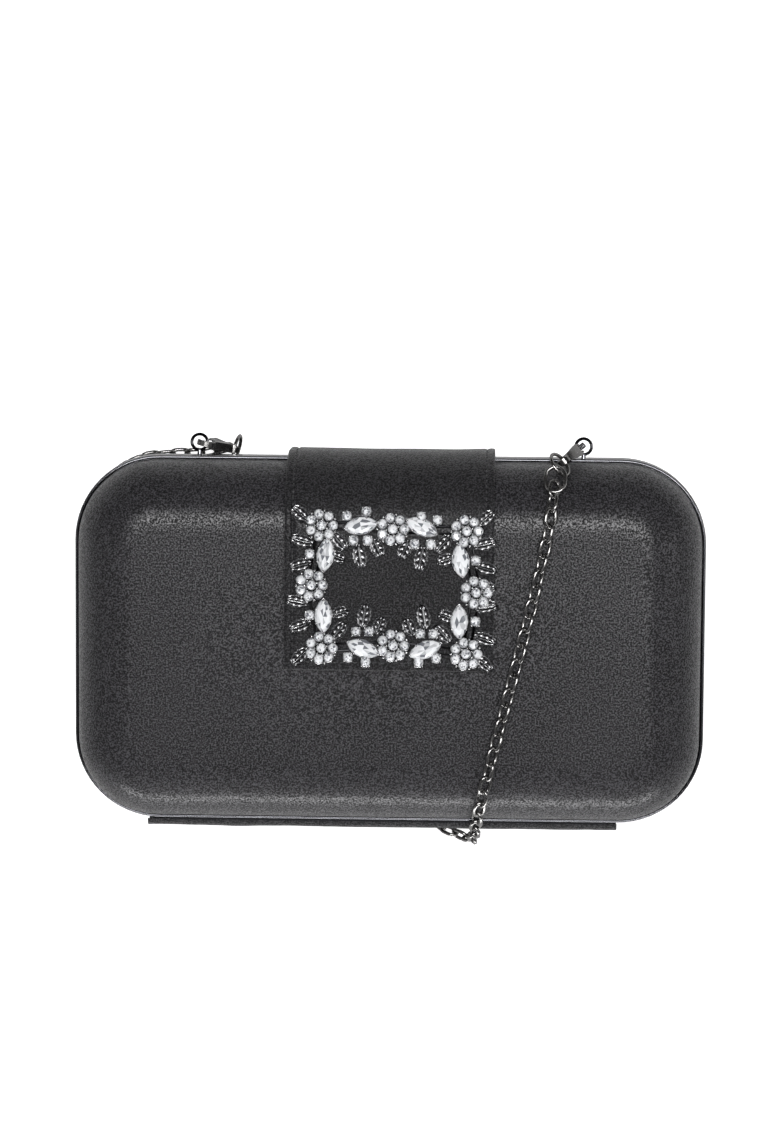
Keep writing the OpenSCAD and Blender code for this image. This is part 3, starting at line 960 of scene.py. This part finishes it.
    def build(self) -> None:
        """Builds the satin, its lining and the top-stitching."""
        face = self.face_line()
        bm = self.band([*face, *self.inside_line(self.under_t)])
        reach = self.thickness * 0.55
        for v in bm.verts:
            out = self.outward(v.co)
            if self.height_over(v.co) > reach:
                v.co -= out * self.lowered(v.co)
        satin = piece("flap_satin", bm, self.finishes.flap_satin, 50)
        self.joined(satin, "flap_face", "flap_tail")
        lining_end_z = 26.0
        inside = [p for p in self.inside_line(self.under_t) if p[1] > lining_end_z]
        lining = [p for p in self.inside_line(0.0) if p[1] > lining_end_z]
        under = self.band([*inside, *reversed(lining)])
        self.joined(piece("flap_lining", under, self.finishes.lining, 50), "flap_under")
        self.build_stitches(face)

    def height_over(self, co: Vector) -> float:
        """Returns how far a point lies outside the flap's inner side, mm."""
        if co.z < self.tail_z:
            return math.hypot(co.y - self.tail_y, co.z - self.tail_z) - self.tail_r + 0.4
        if co.z < self.turn_z:
            return co.y - self.plan.half_h - 0.8
        if co.y > self.turn_y:
            return math.hypot(co.y - self.turn_y, co.z - self.turn_z) - self.inner_r
        return co.z - self.turn_z - self.inner_r

    def joined(self, obj: bpy.types.Object, *nodes: str) -> None:
        """Hides the nodes that a fabric piece stands for, and bakes the piece's placement into its mesh."""
        if nodes:
            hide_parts(*nodes)
        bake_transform(obj)

    def build_stitches(self, face: Section) -> None:
        """Sews a row of stitches down each side and across the free end."""
        bm = bmesh.new()
        seed = bmesh.new()
        bmesh.ops.create_icosphere(seed, subdivisions=1, radius=1.0)
        bmesh.ops.scale(seed, vec=self.stitch_size, verts=seed.verts)
        shape = kept(seed, "stitch_shape")
        top = self.turn_z + self.outer_r
        line = [Vector((0, y, z)) for y, z in face if z > 26.5 and y > self.end_y + self.seam_in]
        line.append(Vector((0, self.end_y + self.seam_in, top)))
        for place, along in spaced(line, self.stitch):
            out = self.outward(place)
            for side in (-1, 1):
                x = self.middle + side * (self.half_w - self.seam_in)
                spot = Vector((x, place.y, place.z)) - out * self.stitch_sunk
                stamped(bm, shape, framed(spot, out.cross(along), along, out))
        width = 2 * (self.half_w - self.seam_in)
        count = round(width / self.stitch)
        for i in range(count):
            x = self.middle - width / 2 + (i + 0.5) * width / count
            spot = Vector((x, self.end_y + self.seam_in, top - self.stitch_sunk))
            stamped(bm, shape, framed(spot, Vector((0, -1, 0)), Vector((1, 0, 0)), Vector((0, 0, 1))))
        self.joined(piece("flap_stitching", bm, self.finishes.thread, 180))


def framed(at: Vector, x: Vector, y: Vector, z: Vector) -> Matrix:
    """Returns the matrix that takes the axes to x, y and z at a place."""
    turn = Matrix((x, y, z)).transposed().to_4x4()
    return Matrix.Translation(at) @ turn


def spaced(line: Sequence[Vector], pitch: float) -> list[tuple[Vector, Vector]]:
    """Walks a line and stops at even distances.

    Args:
        line: The line's points.
        pitch: Distance between stops.

    Returns:
        Each stop's place and the line's direction there.
    """
    stops = []
    ahead = pitch / 2
    for a, b in zip(line, line[1:]):
        step = b - a
        length = step.length
        while ahead <= length:
            stops.append((a + step * (ahead / length), step.normalized()))
            ahead += pitch
        ahead -= length
    return stops


# ---------------------------------------------------------------- brooch


def placed(place: Vector, turn: float) -> Matrix:
    """Returns the matrix that turns a shape round Z, in radians, and moves it to a place."""
    return Matrix.Translation(place) @ Matrix.Rotation(turn, 4, "Z")


def around(radius: float, turn: float, height: float = 0.0) -> Vector:
    """Returns the point at a radius and a turn in radians round the Z axis."""
    return Vector((radius * math.cos(turn), radius * math.sin(turn), height))


class Gem:
    """Shapes of the faceted stones."""

    # Name of the face attribute that holds each facet's painted reflection.
    PAINTED_FACET_LIGHT = "facet"

    @staticmethod
    def cut(outline: Sequence[Vector], height: float) -> bpy.types.Mesh:
        """Cuts a stone whose crown steps in from its girdle to a table with facets under it.

        Args:
            outline: The girdle's points, round the origin.
            height: The stone's height, mm.

        Returns:
            The stone's mesh.
        """
        bm = bmesh.new()
        count = len(outline)
        foot, girdle = (0.0, 0.86, 0.0), (0.35, 1.0, 0.0)
        crown, table_edge = (0.74, 0.8, 0.5), (1.0, 0.5, 0.0)
        for level, share, shift in (foot, girdle, crown, table_edge):
            for i in range(0, count, 1 if share > 0.6 else 2):
                between = outline[i].lerp(outline[(i + 1) % count], shift)
                bm.verts.new((between.x * share, between.y * share, level * height))
        bmesh.ops.convex_hull(bm, input=bm.verts)
        bmesh.ops.dissolve_limit(bm, angle_limit=math.radians(2), verts=bm.verts, edges=bm.edges)
        bm.normal_update()
        table = [f for f in bm.faces if f.normal.z > 0.99]
        bmesh.ops.poke(bm, faces=table, offset=0.0)
        return kept(bm, "stone_shape")

    @staticmethod
    def round_outline(radius: float, count: int) -> list[Vector]:
        """Returns the girdle of a round stone."""
        return [around(radius, math.tau * i / count) for i in range(count)]

    @staticmethod
    def pointed_outline(length: float, width: float, count: int) -> list[Vector]:
        """Returns the girdle of a stone with two points, made of two crossing arcs."""
        radius = (length * length + width * width) / (4 * width)
        points = []
        for i in range(count):
            turn = math.tau * i / count
            x = length / 2 * math.cos(turn)
            y = math.sqrt(radius * radius - x * x) - (radius - width / 2)
            at_point = abs(math.sin(turn)) < 1e-6
            points.append(Vector((x, 0.0 if at_point else math.copysign(y, math.sin(turn)), 0)))
        return points


@dataclass(frozen=True)
class Leaf:
    """One engraved leaf of the casting, placed by its middle from the flap's middle line."""

    RECESS: ClassVar[str] = "recess"
    x: float
    y: float
    turn: float
    length: float = 7.2
    width: float = 4.2


@dataclass
class Brooch:
    """The jewelled brooch: an openwork casting with flowers and pointed stones between them."""

    finishes: Finishes
    middle: float = 0.6
    petal_r: float = 1.52
    petal_ring: float = 3.6
    petals: int = 7
    flower_h: float = 1.7
    navette: tuple[float, float, float] = (10.4, 5.3, 2.2)
    turns: tuple[float, ...] = (10, -25, 98, 90, 22, -20, 90, 82)
    chatons: tuple[tuple[float, float], ...] = (
        (-13, 41.5), (-7, 43), (10, 41.5), (15, 40.5), (-11, 34), (-6.5, 34), (8, 33), (13, 33),
        (-24.5, 29.5), (-24.5, 10.5), (27, 28), (27, 9), (-10, 5.5), (-6, 5.5), (10, 5), (14, 5),
        (-12.5, -2.5), (-7, -4), (9.5, -4), (15, -2.5))
    leaves: tuple[Leaf, ...] = (
        Leaf(-27.5, 42, 140), Leaf(-27, 33.6, 165, 7.6), Leaf(-27.4, 26, 195), Leaf(-28.4, 14.6, 170),
        Leaf(-27.4, 7, 200, 7.6), Leaf(-27.4, -2.6, 225), Leaf(-15.5, 33.6, -50), Leaf(-9, 29, -80, 8),
        Leaf(10, 28.4, -100, 8), Leaf(16.8, 33, -130), Leaf(30, 41, 40), Leaf(29.8, 33, 15, 7.6),
        Leaf(30.2, 25.5, -15), Leaf(30.4, 13.5, 10), Leaf(30, 3.4, -20, 7.6), Leaf(29.6, -4, -45),
        Leaf(-7.5, 10.4, 80, 8), Leaf(11, 10.2, 100, 8), Leaf(-15.4, 5.6, 50), Leaf(17, 5, 130),
        Leaf(-3.6, 31.6, -65, 6.4), Leaf(5, 31.2, -115, 6.4), Leaf(-2.8, 7.4, 65, 6.4),
        Leaf(6.6, 7, 115, 6.4), Leaf(-16, 28.6, -20, 5.6), Leaf(17.6, 28, 200, 5.6),
        Leaf(-15, 11.2, 20, 5.6), Leaf(18, 10.4, 160, 5.6), Leaf(-26.6, 20.4, 180, 5.6),
        Leaf(30.6, 19.4, 0, 5.6))
    seed: int = 11
    middle_rise: float = 0.45
    most_tilt: float = 0.1
    cup_drop: float = 0.15
    bar_h: float = 0.7
    bar_w: float = 0.7
    bar_apart: float = 1.1
    bar_round: float = 0.16
    disc_radii: tuple[float, float] = (4.8, 4.6)
    prong: float = 0.42

    def spots(self, kind: str, count: int) -> list[Vector]:
        """Returns the middles of numbered nodes at the height of their lower side, mm."""
        found = []
        for i in range(1, count + 1):
            low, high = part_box(f"{kind}_{i}")
            middle = (low + high) / (2 * MM)
            found.append(Vector((middle.x, middle.y, low.z / MM)))
        return found

    def build(self) -> None:
        """Builds the casting and every stone."""
        flowers = self.spots("flower", 8)
        navettes = self.spots("navette", len(self.turns))
        chatons = [Vector((self.middle + x, y, flowers[0].z)) for x, y in self.chatons]
        turns = [math.radians(t) for t in self.turns]
        self.build_stones(flowers, navettes, chatons, turns)
        self.build_casting(flowers, navettes, chatons, turns)

    def petals_of(self, flower: Vector) -> list[Vector]:
        """Returns the places of a flower's middle stone and petals."""
        ring = [around(self.petal_ring, math.tau * i / self.petals) for i in range(self.petals)]
        return [flower, *(flower + p for p in ring)]

    def build_stones(self, flowers: list[Vector], navettes: list[Vector], chatons: list[Vector],
                     turns: list[float]) -> None:
        """Sets every stone, each node's stones as a piece of their own."""
        rng = random.Random(self.seed)
        small = Gem.cut(Gem.round_outline(self.petal_r * 0.94, 12), self.flower_h)
        long = Gem.cut(Gem.pointed_outline(*self.navette[:2], 16), self.navette[2])
        for i, flower in enumerate(flowers, 1):
            bm = bmesh.new()
            places = self.petals_of(flower)
            for place in places:
                rise = self.middle_rise if place is flower else 0.0
                spin = rng.uniform(0, math.tau)
                tilt = Matrix.Rotation(rng.uniform(-self.most_tilt, self.most_tilt), 4, "X")
                stamped(bm, small, placed(place + Vector((0, 0, rise)), spin) @ tilt)
            self.set_stones(f"flower_{i}_stones", bm, rng, f"flower_{i}")
        for i, (place, turn) in enumerate(zip(navettes, turns), 1):
            bm = bmesh.new()
            stamped(bm, long, placed(place, turn))
            self.set_stones(f"navette_{i}_stone", bm, rng, f"navette_{i}")
        bm = bmesh.new()
        for place in chatons:
            stamped(bm, small, placed(place, rng.uniform(0, math.tau)))
        self.set_stones("single_stones", bm, rng, "brooch_chatons")

    def set_stones(self, name: str, bm: bmesh.types.BMesh, rng: random.Random, node: str) -> None:
        """Paints each facet a random share of reflected light into its colour, as painted reflection, and
        sets the stones on the flap.
        """
        layer = bm.faces.layers.float.new(Gem.PAINTED_FACET_LIGHT)
        for face in bm.faces:
            # Painted reflection: a random brightness per facet, mostly light with some dark.
            face[layer] = rng.choice((0.1, 0.55, 0.85, 0.95, 1.0, 1.0))
        obj = piece(name, bm, self.finishes.crystal, 0)
        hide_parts(node)
        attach(obj, "flap")

    def leaf_shape(self) -> bpy.types.Mesh:
        """Makes a leaf of unit length: a raised outline, rib and veins over dark hollows, on a skirt."""
        bm = bmesh.new()
        bmesh.ops.create_grid(bm, x_segments=20, y_segments=12, size=0.5)
        sunk = bm.verts.layers.float.new(Leaf.RECESS)
        for v in bm.verts:
            along, side = v.co.x * 2, v.co.y * 2
            wide = (1 - along * along) ** 0.62 if abs(along) < 1 else 0.0
            scallop = 1 + 0.07 * math.sin(along * 17.0)
            outline = math.exp(-(((1 - abs(side)) / 0.24) ** 2))
            rib = math.exp(-((side / 0.16) ** 2))
            veins = max(0.0, math.cos((along * 2.0 - abs(side) * 0.8) * math.tau)) ** 3
            raised = max(outline, 0.9 * rib, 0.5 * veins)
            v[sunk] = 1 - raised
            v.co.y = side / 2 * wide * scallop
            v.co.z = 0.3 + 0.2 * raised
        rim = [e for e in bm.edges if e.is_boundary]
        pulled(bm, rim, [Vector((0, 0, -0.3))])
        bmesh.ops.remove_doubles(bm, verts=bm.verts, dist=0.0005)
        bmesh.ops.recalc_face_normals(bm, faces=bm.faces)
        return kept(bm, "leaf_shape")

    def cup_shape(self, outline: Sequence[Vector], height: float) -> bpy.types.Mesh:
        """Makes the collet that holds a stone: a flared wall with a turned lip."""
        bm = bmesh.new()
        edges = strung(bm, (p * 0.92 for p in outline), closed=True)
        bmesh.ops.holes_fill(bm, edges=edges)
        for grow, rise in ((1.18, 0.35), (1.0, 0.45), (0.97, 0.06), (0.93, -0.2)):
            made = bmesh.ops.extrude_edge_only(bm, edges=edges)["geom"]
            verts = [e for e in made if isinstance(e, bmesh.types.BMVert)]
            own = set(verts)
            edges = [e for e in made if isinstance(e, bmesh.types.BMEdge) and own.issuperset(e.verts)]
            bmesh.ops.scale(bm, vec=(grow, grow, 1), verts=verts)
            bmesh.ops.translate(bm, vec=(0, 0, rise * height), verts=verts)
        bmesh.ops.recalc_face_normals(bm, faces=bm.faces)
        return kept(bm, "cup_shape")

    def build_casting(self, flowers: list[Vector], navettes: list[Vector], chatons: list[Vector],
                      turns: list[float]) -> None:
        """Builds the openwork, its collets, prongs and leaves as one casting."""
        bm = bmesh.new()
        bm.verts.layers.float.new(Leaf.RECESS)
        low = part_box("brooch_casting")[0].z / MM
        self.add_bars(bm, flowers, low)
        leaf = self.leaf_shape()
        for one in self.leaves:
            size = Matrix.Diagonal((one.length, one.width, 2.3, 1))
            at = Matrix.Translation((self.middle + one.x, one.y, low + 0.35))
            stamped(bm, leaf, at @ Matrix.Rotation(math.radians(one.turn), 4, "Z") @ size)
        small = Gem.round_outline(self.petal_r, 12)
        sunk = Vector((0, 0, self.cup_drop))
        cup = self.cup_shape(small, 0.75)
        long = Gem.pointed_outline(*self.navette[:2], 16)
        long_cup = self.cup_shape(long, 0.8)
        bead = self.bead_shape()
        for flower in flowers:
            for place in self.petals_of(flower):
                stamped(bm, cup, Matrix.Translation(place - sunk))
            for i in range(self.petals):
                turn = math.tau * (i + 0.5) / self.petals
                for radius, size, rise in ((2.0, 0.36, 1.7), (4.7, self.prong, 1.3)):
                    spot = flower + around(radius, turn, rise)
                    stamped(bm, bead, Matrix.Translation(spot) @ Matrix.Scale(size, 4))
        for place, turn in zip(navettes, turns):
            stamped(bm, long_cup, placed(place - sunk, turn))
            for x, y in ((-5.0, 0), (5.0, 0), (-2.2, -2.2), (2.2, -2.2), (-2.2, 2.2), (2.2, 2.2)):
                spot = place + Matrix.Rotation(turn, 3, "Z") @ Vector((x, y, 1.1))
                stamped(bm, bead, Matrix.Translation(spot) @ Matrix.Scale(self.prong, 4))
        for place in chatons:
            stamped(bm, cup, Matrix.Translation(place - Vector((0, 0, 0.15))))
            for i in range(4):
                turn = math.tau * (i + 0.5) / 4
                spot = place + Vector((1.62 * math.cos(turn), 1.62 * math.sin(turn), 1.2))
                stamped(bm, bead, Matrix.Translation(spot) @ Matrix.Scale(0.4, 4))
        obj = piece("brooch_openwork", bm, self.finishes.casting, 45)
        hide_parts("brooch_casting")
        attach(obj, "flap")

    def bead_shape(self) -> bpy.types.Mesh:
        """Makes a prong's ball of unit radius."""
        bm = bmesh.new()
        bmesh.ops.create_icosphere(bm, subdivisions=1, radius=1.0)
        return kept(bm, "bead_shape")

    def darken(self, bm: bmesh.types.BMesh) -> None:
        """Marks a whole shape as lying in the casting's dark hollows."""
        sunk = bm.verts.layers.float.new(Leaf.RECESS)
        for v in bm.verts:
            v[sunk] = 1.0

    def add_bars(self, bm: bmesh.types.BMesh, flowers: list[Vector], low: float) -> None:
        """Adds the ribs that run from flower to flower, and the disc under each flower."""
        height = self.bar_h
        for i, flower in enumerate(flowers):
            after = flowers[(i + 1) % len(flowers)]
            run = after - flower
            turn = Matrix.Rotation(math.atan2(run.y, run.x), 4, "Z")
            for shift in (-self.bar_apart, self.bar_apart):
                bar = bmesh.new()
                bmesh.ops.create_cube(bar, size=1.0)
                bmesh.ops.scale(bar, vec=(run.length, self.bar_w, height), verts=bar.verts)
                bmesh.ops.bevel(bar, geom=bar.edges[:], offset=self.bar_round, offset_type="OFFSET",
                                affect="EDGES", segments=1, profile=0.5, material=-1)
                bmesh.ops.translate(bar, vec=(run.length / 2, shift, 0), verts=bar.verts)
                at = Matrix.Translation((flower.x, flower.y, low + height / 2)) @ turn
                self.darken(bar)
                stamped(bm, kept(bar, "bar_shape"), at)
            disc = bmesh.new()
            bmesh.ops.create_cone(disc, cap_ends=True, segments=24, radius1=self.disc_radii[0],
                                  radius2=self.disc_radii[1], depth=height)
            self.darken(disc)
            at = Matrix.Translation((flower.x, flower.y, low + height / 2))
            stamped(bm, kept(disc, "disc_shape"), at)


# ---------------------------------------------------------------- chain


@dataclass
class Chain:
    """The cable chain: down the front, round under the bag's edge, and back up to the left clasp."""

    finishes: Finishes
    link_l: float = 7.1
    link_w: float = 4.8
    wire: float = 1.25
    link_steps: int = 14
    pitch: float = 4.8
    lean_deg: float = 41.0
    loose_deg: float = 9.0
    smoothings: int = 10
    seed: int = 5
    front_route: tuple[tuple[float, float, float], ...] = (
        (52, 51.8, 46.7), (51.6, 49.8, 48.5), (51.2, 47, 50.2), (50.9, 43.6, 51.7), (50.3, 39.5, 52.6),
        (49.3, 33.5, 52.8), (47.9, 27, 52.8), (45.3, 15, 52.8), (42.4, 3, 52.8), (39.4, -9, 52.8),
        (36.4, -21, 52.8), (33.6, -32, 52.8), (32.2, -38, 52.7), (30.8, -44, 51.5), (29.7, -49.2, 49),
        (28.8, -53.8, 45), (28.2, -57.6, 40), (27.8, -61, 34.8), (27.5, -63.4, 30))
    under_route: tuple[tuple[float, float, float], ...] = (
        (26.6, -64.4, 24), (24.8, -64.6, 20.6), (21.4, -64.3, 17.6), (17.4, -62.9, 14.6),
        (13.8, -60.4, 11.2), (10.4, -57.4, 7.6), (6.6, -54.8, 4.6), (2, -52.9, 2.9), (-4, -52.1, 2.5),
        (-20, -52, 2.5), (-40, -52, 2.5), (-60, -52, 2.5), (-73, -52, 2.5), (-81, -50.4, 2.5),
        (-87.8, -45.8, 2.5), (-92.4, -39, 2.5), (-94, -31, 2.5), (-94, -10, 2.5), (-94, 10, 2.5),
        (-94, 31, 2.5), (-92.4, 39, 2.5), (-87.8, 45.8, 2.5), (-81, 50, 2.5), (-73, 51.6, 2.5),
        (-54, 51.6, 2.5), (-36, 53.6, 2.5), (0, 53.8, 2.5), (36, 53.6, 2.5), (55, 52.6, 2.5),
        (73, 52, 2.5), (81, 50.4, 2.5), (87.8, 45.8, 2.5), (92.4, 39, 2.5), (94, 31, 2.5),
        (94, 10, 2.5), (94, -10, 2.5), (94, -31, 2.5), (92.4, -39, 2.5), (87.8, -45.8, 2.5),
        (81, -50.4, 2.5), (73, -52, 2.5), (52, -53.4, 2.5), (36, -56.4, 2.5), (24, -58.8, 2.5),
        (12, -60, 2.5), (2, -59.4, 2.5), (-8, -57.8, 2.5), (-20, -57, 2.5), (-46, -57, 2.5),
        (-73, -57, 2.5), (-83, -55, 2.5), (-91.4, -49.4, 2.5), (-97, -41, 2.5), (-99, -31, 2.5),
        (-99, 0, 2.5), (-99, 31, 2.5), (-97, 41, 2.5), (-91.4, 49.4, 2.5), (-83, 54.9, 2.5),
        (-73, 56.6, 2.5), (-64, 56.8, 2.5), (-58, 57.6, 2.6), (-52.6, 59.5, 3))

    def centreline(self) -> list[Vector]:
        """Returns the chain's smooth centreline, with a point every millimetre."""
        route = [Vector(p) for p in (*self.front_route, *self.under_route)]
        line = [route[0], *(place for place, _ in spaced(route, 1.0)), route[-1]]
        for _ in range(self.smoothings):
            inner = [(a + b * 2 + c) / 4 for a, b, c in zip(line, line[1:], line[2:])]
            line = [line[0], *inner, line[-1]]
        return line

    def build(self) -> None:
        """Builds the chain as one cord from clasp to clasp."""
        line = self.centreline()
        rng = random.Random(self.seed)
        shape = bent_link(self.link_l, self.link_w, self.wire, self.link_steps)
        bm = bmesh.new()
        side = Vector((1, 0, 0))
        for i, (place, along) in enumerate(spaced(line, self.pitch)):
            side = (side - along * side.dot(along)).normalized()
            lean = self.lean_deg if i % 2 else -self.lean_deg
            roll = math.radians(lean + rng.uniform(-self.loose_deg, self.loose_deg))
            up = along.cross(side)
            across = side * math.cos(roll) + up * math.sin(roll)
            stamped(bm, shape, framed(place, along, across, along.cross(across)))
        obj = piece("cable_chain", bm, self.finishes.gunmetal, 180)
        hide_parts("chain_front_run", "chain_under_run")
        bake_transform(obj)
        self.end_ring()

    def end_ring(self) -> bpy.types.Object:
        """Builds the large oval ring between the right clasp's ring and the chain."""
        bm = bmesh.new()
        start, end = Vector((52.0, 56.3, 45.7)), Vector((51.9, 49.4, 48.6))
        along = (end - start).normalized()
        across = Vector((1, 0, 0.12))
        across = (across - along * across.dot(along)).normalized()
        shape = bent_link(9.6, 7.6, 1.35, 28)
        stamped(bm, shape, framed((start + end) / 2, along, across, along.cross(across)))
        obj = piece("chain_end_ring", bm, self.finishes.gunmetal, 180)
        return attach(obj, Half.FRONT.value)


@dataclass(frozen=True)
class ClaspPose:
    """How a clasp hangs: the middle of its hook, then its roll, tilt and turn in degrees."""

    at: tuple[float, float, float]
    turn: tuple[float, float, float]
    body_length: float = 11.5
    end_share: float = 0.62
    swell: float = 1.75

    def swollen(self, co: Vector) -> Vector:
        """Thickens the middle of a clasp's body, which is flat in the frame.

        Args:
            co: A point of the clasp, mm.

        Returns:
            Where the point goes.
        """
        turned = Euler([math.radians(t) for t in self.turn]).to_matrix().to_4x4()
        place = Matrix.Translation(self.at) @ turned
        own = place.inverted() @ co
        along = min(1.0, max(0.0, own.x / self.body_length))
        own.z *= max(1.0, self.end_share + self.swell * math.sin(math.pi * along))
        return place @ own


@dataclass
class Fittings:
    """Eyelets, clasps, hinge and the pieces hidden inside, which keep their machined shape."""

    finishes: Finishes
    eyelet_wire: float = 1.1
    post_radii: tuple[float, float] = (0.8, 0.65)
    body_round: float = 0.2
    lever_round: float = 0.15
    clasps: ClassVar[dict[Side, ClaspPose]] = {
        Side.LEFT: ClaspPose((-58.9, 61.3, 20.8), (90, 40, -14)),
        Side.RIGHT: ClaspPose((59.3, 61.1, 29.2), (-85, -60, 214))}

    def build(self) -> None:
        """Rounds over the small metal pieces and gives the others their finish."""
        f = self.finishes
        for side in Side:
            self.wire_eyelet(side)
            clasp = f"clasp_{side.value}"
            softened(f"{clasp}_body", f"{clasp}_body_made", f.gunmetal, self.body_round,
                     self.clasps[side].swollen)
            softened(f"{clasp}_gate", f"{clasp}_gate_made", f.steel, self.lever_round)
            dress(f.steel, f"{clasp}_pin")
            dress(f.gunmetal, f"{clasp}_ring")
        dress(f.black_nickel, "hinge_leaf_back", "hinge_leaf_front")
        dress(f.steel, "hinge_pin")
        dress(f.magnet, "front_magnet", "flap_magnet")
        dress(f.core, "back_core", "front_core")
        dress(f.foam, "back_padding", "front_padding")
        dress(f.board, "flap_board")

    def wire_eyelet(self, side: Side) -> None:
        """Bends an eyelet of round wire on its riveted post."""
        node = f"eyelet_{side.value}"
        low, high = (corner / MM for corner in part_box(node))
        radius = (high.x - low.x) / 2
        middle = Vector((low.x + radius, high.y - radius, (low.z + high.z) / 2))
        ring = bent_link(2 * radius, 2 * radius, self.eyelet_wire, 32)
        bm = bmesh.new()
        stamped(bm, ring, Matrix.Translation(middle))
        post = bmesh.new()
        length = middle.y - radius + self.eyelet_wire / 2 - low.y
        bmesh.ops.create_cone(post, cap_ends=True, segments=20, radius1=self.post_radii[0],
                              radius2=self.post_radii[1], depth=length)
        at = Matrix.Translation((middle.x, low.y + length / 2, middle.z))
        stamped(bm, kept(post, "post_shape"), at @ Matrix.Rotation(-math.pi / 2, 4, "X"))
        obj = piece(f"{node}_made", bm, self.finishes.black_nickel, 50)
        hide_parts(node)
        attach(obj, bpy.data.objects[node]["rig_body"])


# ---------------------------------------------------------------- studio


@dataclass
class Studio:
    """The camera above the bag, the lit white floor and the soft lights."""

    target: tuple[float, float, float] = (0.0, 0.0, 0.025)
    distance: float = 1.1
    toward_top_deg: float = 7.0
    toward_right_deg: float = 2.0
    lens: float = 109.67
    lift_deg: float = 1.196
    roll_deg: float = 0.4

    def build(self) -> None:
        """Builds the camera, the floor, the lights and the surroundings."""
        bpy.context.scene.view_settings.view_transform = "Standard"
        self.place_camera()
        self.lay_floor()
        self.surround()
        self.add_light("overhead", (0.05, 0.28, 1.5), (1.2, 0.5), 23.0)
        self.add_light("front_strip", (0.0, -1.2, 0.12), (1.8, 0.22), 16.0)
        self.add_light("right_soft", (1.3, 0.1, 0.7), (0.6, 1.0), 2.4)
        self.add_light("left_soft", (-1.3, 0.0, 0.8), (0.5, 0.9), 0.6)

    def place_camera(self) -> None:
        """Sets the camera above the bag, tipped up a little so that the bag sits low in the picture."""
        data = bpy.data.cameras.new("camera")
        data.lens = self.lens
        data.sensor_width = 36.0
        data.clip_start = 0.05
        camera = bpy.data.objects.new("camera", data)
        bpy.context.scene.collection.objects.link(camera)
        x = math.sin(math.radians(self.toward_right_deg))
        y = math.sin(math.radians(self.toward_top_deg))
        back = Vector((x, y, math.sqrt(1 - x * x - y * y)))
        right = (-back).cross(Vector((0, 1, 0))).normalized()
        turn = framed(Vector(), right, back.cross(right), back)
        tip = Matrix.Rotation(math.radians(self.lift_deg), 4, "X")
        roll = Matrix.Rotation(math.radians(self.roll_deg), 4, "Z")
        at = Matrix.Translation(Vector(self.target) + back * self.distance)
        camera.matrix_world = at @ turn @ (tip @ roll)
        bpy.context.scene.camera = camera

    def lay_floor(self) -> None:
        """Lays the pale floor, lit from within like a light table."""
        bm = bmesh.new()
        bmesh.ops.create_grid(bm, x_segments=2, y_segments=2, size=4.0)
        mesh = kept(bm, "floor")
        material, g, shader = fresh_material("white_floor")
        g.put(shader, "Base Color", (0.5, 0.5, 0.5, 1.0))
        g.put(shader, "Roughness", 0.7)
        g.put(shader, "Emission Color", (1.0, 1.0, 1.0, 1.0))
        seen = g.add("LightPath").outputs["Is Camera Ray"]
        g.put(shader, "Emission Strength", g.between(seen, 0.06, 0.9))
        mesh.materials.append(material)
        floor = bpy.data.objects.new("floor", mesh)
        floor.location.z = -0.0002
        bpy.context.scene.collection.objects.link(floor)

    def surround(self) -> None:
        """Surrounds the bag with light that fades towards the flap's edge."""
        world = bpy.data.worlds.new("studio")
        world.use_nodes = True
        bpy.context.scene.world = world
        g = Graph(world.node_tree)
        where = g.add("TexCoord").outputs["Generated"]
        parts = g.add("SeparateXYZ", {"Vector": where})
        share = g.add("MapRange", {"Value": parts.outputs["Y"], "From Min": -0.9, "From Max": 0.45,
                                   "To Min": 1.0, "To Max": 0.0})
        shade = g.tint(share.outputs[0], (0.03, 0.03, 0.032), (0.22, 0.22, 0.23))
        background = world.node_tree.nodes["Background"]
        g.put(background, "Color", shade)
        g.put(background, "Strength", 0.7)

    def add_light(self, name: str, at: tuple[float, float, float], size: tuple[float, float],
                  power: float) -> None:
        """Hangs one soft rectangular light that faces the bag.

        Args:
            name: The light's name.
            at: Where it hangs, in metres.
            size: Its width and height, in metres.
            power: Its power in watts.
        """
        data = bpy.data.lights.new(name, "AREA")
        data.shape = "RECTANGLE"
        data.size, data.size_y = size
        data.energy = power
        light = bpy.data.objects.new(name, data)
        bpy.context.scene.collection.objects.link(light)
        light.location = at
        light.rotation_euler = (Vector(self.target) - Vector(at)).to_track_quat("-Z", "Y").to_euler()


def main() -> None:
    """Builds the studio and the bag, piece by piece."""
    logging.basicConfig(level=logging.INFO, format="%(name)s %(message)s")
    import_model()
    Studio().build()
    finishes = Finishes()
    Fittings(finishes).build()
    Chain(finishes).build()
    plan = Plan.from_frame()
    for half in Half:
        Shell(plan, finishes, half).build()
    HingeStrip(plan, finishes).build()
    Flap(plan, finishes).build()
    Brooch(finishes).build()


if __name__ == "__main__":
    main()
